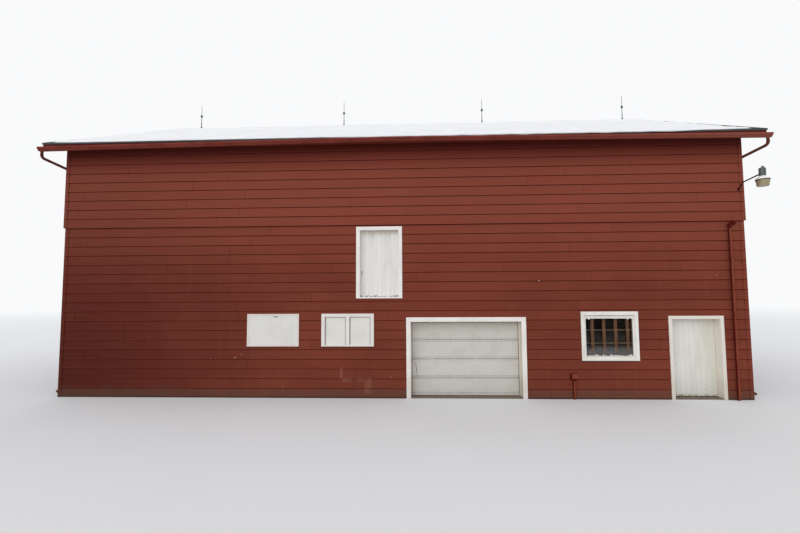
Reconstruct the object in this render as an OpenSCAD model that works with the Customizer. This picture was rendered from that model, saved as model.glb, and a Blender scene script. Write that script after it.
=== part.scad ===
// Two-storey timber barn with lap-sided walls, a gabled roof, a sectional garage door and one side door.
// Millimetres, +Z up. The origin is at the middle of the footprint at ground level; the front faces -Y.

/* [Building] */
// Length of the building along the front, over the lower walls
barn_w = 19510; // [18400:10:24000]
// Depth of the building from front to rear, over the lower walls
barn_d = 10970; // [9000:10:13000]
// Thickness of the walls
wall_t = 240; // [200:5:300]
// Height of the belt line where the upper walls begin
belt_z = 4916; // [4880:1:5400]
// Step by which the upper walls stand out past the lower ones
belt_out = 32; // [28:1:60]
// Top of the ground floor above the ground
floor_z = 28; // [20:1:60]
// Top of the loft floor above the ground
loft_z = 2800; // [2760:1:2810]

/* [Roof] */
// Height of the roof's top surface at the front of the eave board
eave_z = 7365; // [7200:5:8000]
// Slope of the roof in degrees
roof_pitch = 25.6; // [20:0.1:32]
// Distance from the lower wall to the face of the eave board
eave_over = 455; // [380:5:600]
// Distance from the lower gable wall to the end of the roof
rake_over = 430; // [300:5:600]
// Thickness of the roof boarding with its covering
deck_t = 45; // [30:1:70]
// Depth of a rafter
rafter_h = 140; // [120:5:180]
// Width of a rafter
rafter_w = 45; // [38:1:60]
// Largest spacing of the rafters
rafter_pitch = 615; // [450:5:700]

/* [Trim] */
// Thickness of the casings round doors and windows
trim_t = 34; // [30:1:45]
// Width of a door casing
door_casing = 90; // [70:1:120]
// Width of the garage casing
garage_casing = 122; // [90:1:150]
// Width of the stop strips against the garage door
garage_stop_w = 28; // [20:1:50]
// Width of the glazed window's casing at its sides
window_casing = 88; // [60:1:110]
// Width of the glazed window's head casing
window_head = 100; // [60:1:130]
// Height of the glazed window's sill
window_sill = 41; // [30:1:60]
// Width of the sliding window's casing at its sides
slider_casing = 95; // [60:1:110]
// Width of the sliding window's head casing
slider_head = 90; // [60:1:110]
// Height of the sliding window's sill
slider_sill = 36; // [25:1:60]
// Width of the post between the two sliding panels
slider_post_w = 106; // [80:1:130]
// Width of the strips round the boarded window
board_strip = 50; // [35:1:80]
// Width of a corner board
corner_w = 105; // [80:1:150]
// Thickness of a corner board
corner_t = 25; // [20:1:27]
// Thickness of the boards that line an opening
liner_t = 20; // [15:1:25]

/* [Garage door] */
// Middle of the garage doorway from the middle of the front
garage_x = 2020; // [1900:5:2400]
// Clear width of the garage doorway
garage_w = 3112; // [2700:1:3300]
// Height of one section of the garage door
section_h = 533; // [500:1:540]
// Thickness of the garage door
garage_door_t = 45; // [38:1:60]

/* [Side door] */
// Distance from the front's right corner to the middle of the side doorway
door_inset = 1415; // [1350:5:2000]
// Clear width of the side doorway
door_w = 1300; // [1000:1:1320]
// Clear height of the side doorway above the ground
door_h = 2185; // [2000:1:2250]
// Thickness of the side door's boards
leaf_t = 35; // [28:1:45]
// Gap round the edges of the side door
leaf_gap = 7; // [6:1:12]

/* [Hay door] */
// Middle of the hay door from the middle of the front
hay_x = -426; // [-500:1:-420]
// Width of the hay door over its casing
hay_w = 1320; // [1100:1:1380]
// Height of the hay door over its casing
hay_h = 2063; // [1800:1:2070]
// Distance from the belt line down to the hay door's head casing
hay_drop = 53; // [45:1:150]
// Width of the hay door's casing at its sides
hay_casing = 104; // [80:1:130]
// Width of the hay door's head casing
hay_head = 98; // [80:1:130]
// Height of the hay door's sill
hay_sill = 38; // [30:1:60]

/* [Windows] */
// Middle of the boarded window from the middle of the front
boarded_x = -3482; // [-4200:5:-3200]
// Middle of the sliding window from the middle of the front
slider_x = -1330; // [-1600:5:-1100]
// Width of each low window over its casing
low_window_w = 1500; // [1200:5:1520]
// Height of each low window over its casing
low_window_h = 922; // [700:1:1000]
// Middle height of the low windows
low_window_z = 1904; // [1800:1:2000]
// Middle of the glazed window from the middle of the front
glazed_x = 5996; // [5500:5:6400]
// Width of the glazed window over its casing
glazed_w = 1560; // [1200:5:1700]
// Height of the glazed window over its casing
glazed_h = 1354; // [1100:1:1500]
// Middle height of the glazed window
glazed_z = 1724; // [1500:1:1850]

/* [Frame] */
// Side of a post that carries the loft
post_s = 200; // [150:5:250]
// Number of posts in each row
post_count = 5; // [4:1:6]
// Distance of the post rows from the middle line
row_y = 1830; // [1500:10:2400]
// Depth of the girders on the posts
girder_h = 250; // [200:5:300]
// Depth of a loft joist
joist_h = 235; // [200:5:260]
// Width of a loft joist
joist_w = 50; // [40:1:75]
// Thickness of the loft floor boards
loft_t = 28; // [20:1:40]
// Side of a post that carries the roof
purlin_post_s = 150; // [120:5:200]
// Depth of a roof purlin
purlin_h = 200; // [150:5:240]

/* [Rainwater] */
// Width of a gutter from the eave board to its lip
gutter_w = 125; // [100:1:150]
// Depth of a gutter
gutter_h = 108; // [90:1:130]
// Height that a gutter falls from its middle to each end
gutter_fall = 90; // [20:1:110]
// Diameter of a downspout
spout_d = 76; // [60:1:90]

/* [Service mast] */
// Diameter of the mast
mast_d = 74; // [50:1:90]
// Distance from the front's right corner to the middle of the mast
mast_inset = 420; // [300:5:450]

/* [Roof rods and lamp] */
// Height of a lightning rod above the ridge
rod_h = 1080; // [600:10:1500]
// Distance from the roof's left end to the first lightning rod
rod_left = 1400; // [600:1:2500]
// Distance from the roof's right end to the last lightning rod
rod_right = 733; // [500:1:2500]
// Distance between the two lightning rods nearest the left end
rod_gap_left = 6340; // [4000:10:7000]
// Distance between the two lightning rods nearest the right end
rod_gap_right = 5920; // [4000:10:7000]
// Distance of the lamp from the front wall
lamp_reach = 810; // [500:5:1000]
// Height of the lamp's fixing above the belt line
lamp_rise = 874; // [500:1:1400]
// Distance from the corner board to the middle of the lamp's fixing
lamp_inset = 47; // [45:1:300]

/* [Hidden] */
w2 = barn_w / 2;
d2 = barn_d / 2;
in_x = w2 - wall_t;
in_y = d2 - wall_t;
up_x = w2 + belt_out;
up_y = d2 + belt_out;

// Roof lines, as heights at a distance s from the ridge
slope = tan(roof_pitch);
tilt = cos(roof_pitch);
eave_s = d2 + eave_over;
ridge_z = eave_z + eave_s * slope;
seat_gap = 0.3;
fascia_t = 25;
soffit_t = 15;
drip = 25;
roof_x = w2 + rake_over;
rake_t = 25;
rake_set = 10;
rake_x = roof_x - rake_set;
rake_in = rake_x - rake_t;
rake_h = 170;
tail_s = eave_s - fascia_t;
seat_w = 104;
plate_h = 90;
ridge_board_t = 40;
ridge_board_h = 235;
cap_t = 10;
cap_w = 150;
function top_z(s) = ridge_z - s * slope;
function deck_z(s) = top_z(s) - deck_t / tilt;
function seat_z(s) = deck_z(s) - seat_gap / tilt;
function rafter_z(s) = seat_z(s) - rafter_h / tilt;
function soffit_z(s) = rafter_z(s) - seat_gap / tilt;
function soffit_low(s) = soffit_z(s) - soffit_t / tilt;
plate_z = rafter_z(up_y - seat_w);
wall_top = plate_z - plate_h;

// Openings in the front wall, each window as [middle, bottom, width, height] over its casing
section_count = 4;
garage_h = section_count * section_h;
garage_l = garage_x - garage_w / 2 - liner_t;
garage_r = garage_x + garage_w / 2 + liner_t;
door_x = w2 - door_inset;
door_l = door_x - door_w / 2 - liner_t;
door_r = door_x + door_w / 2 + liner_t;
low_bottom = low_window_z - low_window_h / 2;
hay = [hay_x, belt_z - hay_drop - hay_h, hay_w, hay_h];
glazed = [glazed_x, glazed_z - glazed_h / 2, glazed_w, glazed_h];
slider = [slider_x, low_bottom, low_window_w, low_window_h];
boarded = [boarded_x, low_bottom, low_window_w, low_window_h];

// Casing widths of each window as [side, head, sill]
hay_trim = [hay_casing, hay_head, hay_sill];
glazed_trim = [window_casing, window_head, window_sill];
slider_trim = [slider_casing, slider_head, slider_sill];
boarded_trim = [board_strip, board_strip, board_strip];

// Lowest and highest corner in (x, z) of a window's clear opening
function clear_lo(win, trim) = [win[0] - win[2] / 2 + trim[0], win[1] + trim[2]];
function clear_hi(win, trim) = [win[0] + win[2] / 2 - trim[0], win[1] + win[3] - trim[1]];

// Side door and its hinges
leaf_set = 4;
leaf_y = -in_y - leaf_set;
leaf_clear = 12;
leaf_bottom = floor_z + leaf_clear;
leaf_w = door_w - 2 * leaf_gap;
leaf_l = door_x - leaf_w / 2;
leaf_h = door_h - leaf_gap - leaf_bottom;
stop_t = 14;
stop_w = 30;
stop_gap = 5;
ledge_t = 26;
ledge_w = 140;
ledge_inset = 60;
ledge_z = [300, 1050, 1800];
pin_r = 8;
pin_play = 0.3;
pin_proud = 6;
rest_gap = 0.5;
eye_r = 15;
eye_h = 44;
pin_x = door_x + door_w / 2;
eye_gap = 5;
pin_y = -in_y + eye_r + eye_gap;
strap_l = 620;
strap_t = 6;
strap_h = 44;
arm_t = 12;
plate_w = 60;
plate_x = door_r + 5;
hinge_z = [for (z = [ledge_z[0], ledge_z[2]]) leaf_bottom + z + ledge_w / 2];
handle_t = 22;
handle_inset = 62;
handle_x = leaf_l + handle_inset;
handle_rise = 905;
handle_z = leaf_bottom + handle_rise;
handle_l = 282;
handle_reach = 58;

// Hay door, storm sash with its glass, and the wooden sash behind them
hay_depth = 150;
hay_ledges = [0.14, 0.5, 0.86];
sash_stile = 51;
sash_bottom = 58;
sash_top = 94;
sash_t = 40;
sash_depth = 6;
sash_y = -d2 + sash_depth;
glass_t = 6;
inner_depth = 130;
inner_y = -d2 + inner_depth;
inner_t = 40;
inner_stile = 34;
inner_rail = 60;
slider_depth = 8;
slider_t = 25;
slider_gap = 14;
board_t = 18;
board_depth = 6;

// Loft and roof frame
joist_z = loft_z - loft_t - joist_h;
girder_z = joist_z - girder_h;
ledger_h = 100;
ledger_t = 50;
joist_count = ceil(2 * in_x / rafter_pitch) + 1;
joist_step = (2 * in_x - joist_w) / (joist_count - 1);
rafter_count = joist_count;
rafter_step = (2 * in_x - rafter_w) / (rafter_count - 1);
post_step = (2 * in_x - post_s) / (post_count - 1);
purlin_z = rafter_z(row_y + purlin_post_s / 2) - purlin_h;
tie_drop = 900;
tie_z = purlin_z - tie_drop;
tie_h = 200;
tie_w = 80;
brace_w = 90;
brace_reach = 620;
post_x = [for (i = [0 : post_count - 1]) -in_x + post_s / 2 + i * post_step];

// Garage door tracks
track_gap = 22;
track_t = 4;
track_w = 52;
track_d = 30;
track_bend = 260;
track_run = 2250;
roller_r = 22;
door_lap = 60;
garage_set = 6;
garage_y = -in_y + garage_set;
track_clear = 8;
track_y = garage_y + garage_door_t + roller_r + track_clear;
track_rise = 90;
track_top = garage_h + track_rise;
garage_stop_t = 15;
seal_h = 30;
head_lap = 30;
door_top = garage_h + head_lap;

// Rainwater goods
gutter_t = 4;
gutter_drop = 6;
gutter_top = deck_z(eave_s + drip) - gutter_drop;
gutter_past = 65;
gutter_x = roof_x + gutter_past;
gutter_base = 76;
gutter_lip = 28;
gutter_steps = 8;
gutter_tilt = atan(gutter_fall / gutter_x);
outlet_inset = 25;
outlet_x = roof_x - outlet_inset;
outlet_h = 30;
outlet_in = 3;
outlet_z = gutter_top - gutter_h - gutter_fall * outlet_x / gutter_x;
spout_r = spout_d / 2;
mouth_gap = 2;
mouth_y = eave_s + spout_r + mouth_gap;
spout_gap = 6;
spout_x = up_x + corner_t + spout_gap + spout_r;
spout_inset = 60;
spout_y = in_y + spout_inset;
spout_top = outlet_z - outlet_h;
bend_r = 100;
sleeve_t = 2.5;
sleeve_h = 24;
neck_drop = 85;
neck_a = 75;
bend_in = bend_r * (1 - cos(neck_a));
bend_down = bend_r * sin(neck_a);
neck_reach = norm([outlet_x - spout_x, mouth_y - spout_y]);
neck_l = (neck_reach - 2 * bend_in) / sin(neck_a);
spout_turn = spout_top - neck_drop - 2 * bend_down - neck_l * cos(neck_a);
spout_foot = 230;
kick_a = 65;
kick_l = 80;
band_h = 25;
band_t = 3;
low_band = 900;
band_pitch = 570;
band_drop = 200;
gable_bands = [low_band, belt_z - band_pitch, spout_turn - band_drop];

// Service mast, with the places of its straps in steps down from the first
mast_r = mast_d / 2;
mast_gap = 43;
mast_x = w2 - mast_inset;
mast_out = mast_gap + mast_r;
hood_past = 6;
hood_r = mast_r + hood_past;
hood_bend = 85;
hood_a = 125;
hood_drop = 30;
mast_top = belt_z - hood_drop - hood_r - hood_bend;
strap_first = 430;
strap_step = 533;
strap_places = [0, 1, 3, 5, 7];

// Roof rods, lamp and service box
rod_x = [-roof_x + rod_left, -roof_x + rod_left + rod_gap_left, roof_x - rod_right - rod_gap_right,
    roof_x - rod_right];
lamp_base_r = 40;
lamp_x = up_x - corner_w + corner_t - lamp_inset;
lamp_z = belt_z + lamp_rise;
box_x = 4970;
box_z = 545;
box_size = [190, 90, 137];
pipe_r = 30;

siding_red = [0.46, 0.21, 0.17];
trim_white = [0.86, 0.86, 0.83];
door_cream = [0.80, 0.79, 0.74];
timber = [0.55, 0.42, 0.30];
shingle_grey = [0.33, 0.34, 0.36];
galvanised = [0.55, 0.57, 0.58];

// A block given by its lowest and highest corners
module block(a, b) translate(a) cube(b - a);

// An outline in (y, z) swept along X from x0 to x1
module along_x(x0, x1, points) {
    translate([x0, 0, 0]) rotate([90, 0, 90]) linear_extrude(height = x1 - x0) polygon(points);
}

// Its children and their copy at the other side of the middle line
module both_sides() {
    children();
    mirror([0, 1, 0]) children();
}

module both_ends() {
    children();
    mirror([1, 0, 0]) children();
}

// Part of the front's lower wall between two places along X
module front_panel(x0, x1, z0 = 0) block([x0, -d2, z0], [x1, -in_y, belt_z]);

// A hole through the front's lower wall for a window with a lined edge
module front_hole(win, trim) {
    lo = clear_lo(win, trim);
    hi = clear_hi(win, trim);
    block([lo[0] - liner_t, -d2 - 1, lo[1] - liner_t], [hi[0] + liner_t, -in_y + 1, hi[1] + liner_t]);
}

// Casing and lining of a doorway that stands on the ground
module doorway_frame(x, w, h, casing) {
    difference() {
        union() {
            block([x - w / 2 - casing, -d2 - trim_t, 0], [x + w / 2 + casing, -d2, h + casing]);
            block([x - w / 2 - liner_t, -d2, 0], [x + w / 2 + liner_t, -in_y, h + liner_t]);
        }
        block([x - w / 2, -d2 - trim_t - 1, -1], [x + w / 2, -in_y + 1, h]);
    }
}

// Casing and lining of a window
module window_frame(win, trim) {
    lo = clear_lo(win, trim);
    hi = clear_hi(win, trim);
    left = win[0] - win[2] / 2;
    difference() {
        union() {
            block([left, -d2 - trim_t, win[1]], [left + win[2], -d2, win[1] + win[3]]);
            block([lo[0] - liner_t, -d2, lo[1] - liner_t], [hi[0] + liner_t, -in_y, hi[1] + liner_t]);
        }
        block([lo[0], -d2 - trim_t - 1, lo[1]], [hi[0], -in_y + 1, hi[1]]);
    }
}

// Floor slab inside the walls, with a tongue to the outer face in each doorway
module ground_floor() color([0.6, 0.58, 0.54]) {
    block([-in_x, -in_y, 0], [in_x, in_y, floor_z]);
    block([garage_x - garage_w / 2, -d2, 0], [garage_x + garage_w / 2, -in_y, floor_z]);
    block([door_x - door_w / 2, -d2, 0], [door_x + door_w / 2, -in_y, floor_z]);
}

module front_wall_left() color(siding_red) difference() {
    front_panel(-w2, garage_l);
    front_hole(boarded, boarded_trim);
    front_hole(slider, slider_trim);
    front_hole(hay, hay_trim);
}

module front_wall_over_garage() color(siding_red) front_panel(garage_l, garage_r, garage_h + liner_t);

module front_wall_middle() color(siding_red) difference() {
    front_panel(garage_r, door_l);
    front_hole(glazed, glazed_trim);
}

module front_wall_over_door() color(siding_red) front_panel(door_l, door_r, door_h + liner_t);

module front_wall_right() color(siding_red) front_panel(door_r, w2);

module front_wall_upper() color(siding_red) block([-up_x, -up_y, belt_z], [up_x, -in_y, wall_top]);

module rear_wall_lower() color(siding_red) block([-w2, in_y, 0], [w2, d2, belt_z]);

module rear_wall_upper() color(siding_red) block([-up_x, in_y, belt_z], [up_x, up_y, wall_top]);

module gable_lower() block([in_x, -in_y, 0], [w2, in_y, belt_z]);

// The gable's upper wall rests on the plates' ends and follows the roof boarding
module gable_upper() {
    along_x(in_x, up_x, [
        [-in_y, belt_z], [in_y, belt_z], [in_y, plate_z], [up_y, plate_z], [up_y, seat_z(up_y)],
        [0, seat_z(0)], [-up_y, seat_z(up_y)], [-up_y, plate_z], [-in_y, plate_z]
    ]);
}

module left_gable_lower() color(siding_red) mirror([1, 0, 0]) gable_lower();
module left_gable_upper() color(siding_red) mirror([1, 0, 0]) gable_upper();
module right_gable_lower() color(siding_red) gable_lower();
module right_gable_upper() color(siding_red) gable_upper();

// One corner board, an angle that wraps the corner at (x, y)
module corner_board(x, y, z0, z1) {
    translate([x, y, z0]) linear_extrude(height = z1 - z0) polygon([
        [-corner_w + corner_t, 0], [0, 0], [0, -corner_w + corner_t],
        [corner_t, -corner_w + corner_t], [corner_t, corner_t], [-corner_w + corner_t, corner_t]
    ]);
}

// Corner boards in two storeys, the upper ones cut to the slope of the soffits
module corner_boards() color(siding_red) both_ends() both_sides() {
    corner_board(w2, d2, 0, belt_z);
    s0 = up_y - corner_w;
    s1 = up_y + 2 * corner_t;
    difference() {
        corner_board(up_x, up_y, belt_z, soffit_low(s0));
        along_x(in_x, roof_x, [
            [s0, soffit_low(s0) - seat_gap], [s1, soffit_low(s1) - seat_gap], [s1, ridge_z], [s0, ridge_z]
        ]);
    }
}

// Casing and lining of the garage doorway, with stop strips just in front of the door
module garage_frame() color(trim_white) {
    doorway_frame(garage_x, garage_w, garage_h, garage_casing);
    w = garage_w / 2;
    difference() {
        block([garage_x - w, -in_y - garage_stop_t, floor_z], [garage_x + w, -in_y, garage_h]);
        block([garage_x - w + garage_stop_w, -in_y - garage_stop_t - 1, 0],
              [garage_x + w - garage_stop_w, -in_y + 1, garage_h - garage_stop_w]);
    }
}

// One roller on its stem and the hinge block that holds it, at height z on one side of the door
module garage_roller(side, z, edge) {
    stem_r = 6;
    stem_in = 30;
    wheel_t = 10;
    hinge_s = 44;
    translate([garage_x + side * (edge - stem_in), track_y, z]) rotate([0, 90 * side, 0]) {
        cylinder(r = stem_r, h = stem_in + track_gap + track_d / 2, $fn = 24);
        translate([0, 0, stem_in + track_gap - wheel_t / 2]) cylinder(r = roller_r, h = wheel_t, $fn = 32);
    }
    translate([garage_x + side * (edge - hinge_s) - hinge_s / 2, garage_y + garage_door_t, z - hinge_s / 2])
        cube([hinge_s, track_y + stem_r - garage_y - garage_door_t, hinge_s]);
}

// Sectional door behind the opening, with pressed panels, a seal at the floor and rollers at each joint
module garage_door() color([0.72, 0.74, 0.68]) {
    panels = 5;
    lift = 4;
    groove = 6;
    inset = 60;
    bottom = floor_z + seal_h;
    edge = garage_w / 2 + door_lap;
    panel_w = (2 * edge - inset) / panels - inset;
    difference() {
        block([garage_x - edge, garage_y, bottom], [garage_x + edge, garage_y + garage_door_t, door_top]);
        for (i = [1 : section_count - 1]) {
            translate([garage_x - edge - 1, garage_y, i * section_h]) rotate([45, 0, 0])
                translate([0, -groove, -groove]) cube([2 * edge + 2, 2 * groove, 2 * groove]);
        }
    }
    block([garage_x - edge, garage_y + groove, floor_z],
          [garage_x + edge, garage_y + garage_door_t - groove, bottom]);
    for (i = [0 : section_count - 1], k = [0 : panels - 1]) {
        x = garage_x - edge + inset + k * (panel_w + inset);
        z = max(i * section_h, bottom);
        block([x, garage_y - lift, z + inset], [x + panel_w, garage_y, (i + 1) * section_h - inset]);
    }
    for (side = [-1, 1]) {
        garage_roller(side, bottom + 2 * roller_r, edge);
        for (i = [1 : section_count - 1]) garage_roller(side, i * section_h, edge);
        garage_roller(side, door_top - 2 * roller_r, edge);
    }
}

// A rail open towards the door, standing on the floor and turning back under the loft
module garage_track() {
    x0 = garage_x + garage_w / 2 + door_lap + track_gap - 10;
    half = track_w / 2;
    lip = half - track_t;
    web = track_d - track_t;
    section = [
        [0, -half], [track_d, -half], [track_d, half], [0, half], [0, lip], [web, lip], [web, -lip], [0, -lip]
    ];
    strip_w = 40;
    hangers = [track_y + track_bend + 300, track_y + track_bend + track_run - 60];
    translate([x0, track_y, floor_z]) linear_extrude(height = track_top - floor_z) polygon(section);
    translate([x0, track_y + track_bend, track_top]) rotate([0, 90, 0]) rotate([0, 0, 90])
        intersection() {
            rotate_extrude($fn = 96) translate([track_bend, 0]) polygon([for (p = section) [p[1], p[0]]]);
            translate([-2 * track_bend, 0, 0]) cube([2 * track_bend, 2 * track_bend, track_d]);
        }
    translate([x0, track_y + track_bend, track_top + track_bend]) rotate([-90, 0, 0])
        linear_extrude(height = track_run) polygon(section);
    block([x0 + track_d, -in_y, floor_z], [x0 + track_d + track_t, track_y + half, track_top]);
    for (y = hangers) {
        block([x0 + track_d, y, track_top + track_bend - half],
              [x0 + track_d + track_t, y + strip_w, joist_z]);
    }
}

module garage_tracks() color(galvanised) {
    garage_track();
    translate([2 * garage_x, 0, 0]) mirror([1, 0, 0]) garage_track();
}

// Casing, lining and stops of the side doorway
module side_door_frame() color(trim_white) {
    doorway_frame(door_x, door_w, door_h, door_casing);
    stop_y = leaf_y - leaf_t - stop_gap - stop_w;
    difference() {
        block([door_x - door_w / 2, stop_y, floor_z], [door_x + door_w / 2, stop_y + stop_w, door_h]);
        block([door_x - door_w / 2 + stop_t, stop_y - 1, 0],
              [door_x + door_w / 2 - stop_t, stop_y + stop_w + 1, door_h - stop_t]);
    }
}

// Boarded leaf with three ledges, a pull handle, and two strap hinges whose eyes turn on the pintles
module side_door() color(door_cream) difference() {
    union() {
        block([leaf_l, leaf_y - leaf_t, leaf_bottom], [leaf_l + leaf_w, leaf_y, leaf_bottom + leaf_h]);
        for (z = ledge_z) {
            block([leaf_l + ledge_inset, leaf_y, leaf_bottom + z],
                  [leaf_l + leaf_w - ledge_inset, leaf_y + ledge_t, leaf_bottom + z + ledge_w]);
        }
        for (z = hinge_z) {
            block([pin_x - strap_l, leaf_y + ledge_t, z - strap_h / 2],
                  [pin_x, leaf_y + ledge_t + strap_t, z + strap_h / 2]);
            translate([pin_x, pin_y, z - eye_h / 2]) cylinder(r = eye_r, h = eye_h, $fn = 48);
        }
        front = leaf_y - leaf_t;
        difference() {
            block([handle_x, front - handle_reach, handle_z],
                  [handle_x + handle_t, front, handle_z + handle_l]);
            block([handle_x - 1, front - handle_reach + handle_t, handle_z + handle_t],
                  [handle_x + handle_t + 1, front + 1, handle_z + handle_l - handle_t]);
        }
    }
    for (z = hinge_z) {
        translate([pin_x, pin_y, z - eye_h]) cylinder(r = pin_r + pin_play, h = 2 * eye_h, $fn = 48);
    }
}

// Fixed half of each hinge: a plate on the wall, an arm under the eye and a pin
module side_door_pintles() color([0.2, 0.2, 0.2]) {
    for (z = hinge_z) {
        low = z - eye_h / 2 - rest_gap;
        block([plate_x, -in_y, z - plate_w], [plate_x + plate_w, -in_y + strap_t, z + plate_w]);
        block([pin_x - pin_r, -in_y + strap_t, low - arm_t], [plate_x + plate_w, pin_y + pin_r, low]);
        translate([pin_x, pin_y, low - arm_t]) cylinder(r = pin_r, h = arm_t + eye_h + pin_proud, $fn = 48);
    }
}

module hay_door_frame() color(trim_white) window_frame(hay, hay_trim);

// Boarded leaf of the hay door, fixed shut inside its lining, with ledges on its inner side
module hay_door() color(door_cream) {
    lo = clear_lo(hay, hay_trim);
    hi = clear_hi(hay, hay_trim);
    back = -d2 + hay_depth;
    block([lo[0], back - leaf_t, lo[1]], [hi[0], back, hi[1]]);
    for (share = hay_ledges) {
        z = lo[1] + share * (hi[1] - lo[1]);
        block([lo[0] + ledge_inset, back, z - ledge_w / 2],
              [hi[0] - ledge_inset, back + ledge_t, z + ledge_w / 2]);
    }
}

// Casing and lining of the glazed window with the frame of its storm sash
module glazed_window_frame() color(trim_white) {
    window_frame(glazed, glazed_trim);
    lo = clear_lo(glazed, glazed_trim);
    hi = clear_hi(glazed, glazed_trim);
    difference() {
        block([lo[0], sash_y, lo[1]], [hi[0], sash_y + sash_t, hi[1]]);
        block([lo[0] + sash_stile, sash_y - 1, lo[1] + sash_bottom],
              [hi[0] - sash_stile, sash_y + sash_t + 1, hi[1] - sash_top]);
    }
}

module glazed_window_glass() color([0.25, 0.28, 0.3, 0.5]) {
    lo = clear_lo(glazed, glazed_trim);
    hi = clear_hi(glazed, glazed_trim);
    y = sash_y + (sash_t - glass_t) / 2;
    block([lo[0] + sash_stile, y, lo[1] + sash_bottom], [hi[0] - sash_stile, y + glass_t, hi[1] - sash_top]);
}

// Frame of the wooden sash behind the storm window
module inner_sash() color([0.48, 0.28, 0.14]) {
    lo = clear_lo(glazed, glazed_trim);
    hi = clear_hi(glazed, glazed_trim);
    difference() {
        block([lo[0], inner_y, lo[1]], [hi[0], inner_y + inner_t, hi[1]]);
        block([lo[0] + inner_stile, inner_y - 1, lo[1] + inner_rail],
              [hi[0] - inner_stile, inner_y + inner_t + 1, hi[1] - inner_rail]);
    }
}

// Frame of the sliding window, with a post between its two panels
module slider_window_frame() color(trim_white) {
    window_frame(slider, slider_trim);
    lo = clear_lo(slider, slider_trim);
    hi = clear_hi(slider, slider_trim);
    half = slider_post_w / 2;
    block([slider_x - half, -d2 - trim_t, lo[1]], [slider_x + half, -d2 + slider_depth + slider_t, hi[1]]);
}

// Two panels that stand on the sill, a little narrower than their bays
module slider_window_panels() color([0.84, 0.85, 0.83]) {
    lo = clear_lo(slider, slider_trim);
    hi = clear_hi(slider, slider_trim);
    y = -d2 + slider_depth;
    for (bay = [[lo[0], slider_x - slider_post_w / 2], [slider_x + slider_post_w / 2, hi[0]]]) {
        block([bay[0] + slider_gap, y, lo[1]], [bay[1] - slider_gap, y + slider_t, hi[1] - slider_gap]);
    }
}

// Window closed by one board, inside a thin edge strip
module boarded_window() color(trim_white) {
    window_frame(boarded, boarded_trim);
    lo = clear_lo(boarded, boarded_trim);
    hi = clear_hi(boarded, boarded_trim);
    y = -d2 - trim_t + board_depth;
    block([lo[0], y, lo[1]], [hi[0], y + board_t, hi[1]]);
}

module loft_posts() color(timber) both_sides() for (x = post_x) {
    block([x - post_s / 2, row_y - post_s / 2, floor_z], [x + post_s / 2, row_y + post_s / 2, girder_z]);
}

module loft_girders() color(timber) both_sides()
    block([-in_x, row_y - post_s / 2, girder_z], [in_x, row_y + post_s / 2, joist_z]);

module loft_ledgers() color(timber) both_sides()
    block([-in_x, in_y - ledger_t, joist_z - ledger_h], [in_x, in_y, joist_z]);

module loft_joists() color(timber) for (i = [0 : joist_count - 1]) {
    x = -in_x + i * joist_step;
    block([x, -in_y, joist_z], [x + joist_w, in_y, joist_z + joist_h]);
}

module loft_floor() color(timber) block([-in_x, -in_y, loft_z - loft_t], [in_x, in_y, loft_z]);

module purlin_posts() color(timber) both_sides() for (x = post_x) {
    half = purlin_post_s / 2;
    block([x - half, row_y - half, loft_z], [x + half, row_y + half, purlin_z]);
}

module purlin_ties() color(timber) for (x = post_x) {
    y = row_y - purlin_post_s / 2;
    block([x - tie_w / 2, -y, tie_z], [x + tie_w / 2, y, tie_z + tie_h]);
}

// Long timbers under the rafters, with their tops cut to the slope
module purlins() color(timber) both_sides() {
    s0 = row_y - purlin_post_s / 2;
    s1 = row_y + purlin_post_s / 2;
    play = seat_gap / tilt;
    along_x(-in_x, in_x, [
        [s0, purlin_z], [s1, purlin_z], [s1, rafter_z(s1) - play], [s0, rafter_z(s0) - play]
    ]);
}

// A brace at 45 degrees from the side of a post up to the timber that it carries, to the right of x
module knee_brace(x, y, top) {
    along = brace_w * sqrt(2);
    translate([x, y + brace_w / 2, top]) rotate([90, 0, 0]) linear_extrude(height = brace_w) polygon([
        [0, -brace_reach], [brace_reach, 0], [brace_reach - along, 0], [0, -brace_reach + along]
    ]);
}

// Braces on both sides of each inner post, and on the inner side of the end ones
module knee_braces() color(timber) both_sides() {
    for (i = [0 : post_count - 1], level = [[girder_z, post_s], [purlin_z, purlin_post_s]]) {
        half = level[1] / 2;
        if (i < post_count - 1) knee_brace(post_x[i] + half, row_y, level[0]);
        if (i > 0) translate([post_x[i] - half, 0, 0]) mirror([1, 0, 0]) knee_brace(0, row_y, level[0]);
    }
}

module wall_plates() color(timber) both_sides() block([-up_x, in_y, wall_top], [up_x, up_y, plate_z]);

module ridge_board() color(timber) {
    top = seat_z(ridge_board_t / 2);
    block([-in_x, -ridge_board_t / 2, top - ridge_board_h], [in_x, ridge_board_t / 2, top]);
}

// Rafters with a notch that seats on the wall plate
module rafters() color(timber) both_sides() for (i = [0 : rafter_count - 1]) {
    x = -in_x + i * rafter_step;
    s0 = ridge_board_t / 2;
    along_x(x, x + rafter_w, [
        [s0, seat_z(s0)], [s0, rafter_z(s0)], [up_y - seat_w, plate_z], [up_y, plate_z],
        [up_y, rafter_z(up_y)], [tail_s, rafter_z(tail_s)], [tail_s, seat_z(tail_s)]
    ]);
}

module roof_slope() {
    s1 = eave_s + drip;
    along_x(-roof_x, roof_x, [[0, deck_z(0)], [s1, deck_z(s1)], [s1, top_z(s1)], [0, top_z(0)]]);
}

module roof_front() color(shingle_grey) mirror([0, 1, 0]) roof_slope();
module roof_rear() color(shingle_grey) roof_slope();

module ridge_cap() color(shingle_grey) {
    low = seat_gap / tilt;
    lift = low + cap_t / tilt;
    along_x(-roof_x, roof_x, [
        [-cap_w, top_z(cap_w) + low], [0, top_z(0) + low], [cap_w, top_z(cap_w) + low],
        [cap_w, top_z(cap_w) + lift], [0, top_z(0) + lift], [-cap_w, top_z(cap_w) + lift]
    ]);
}

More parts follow.
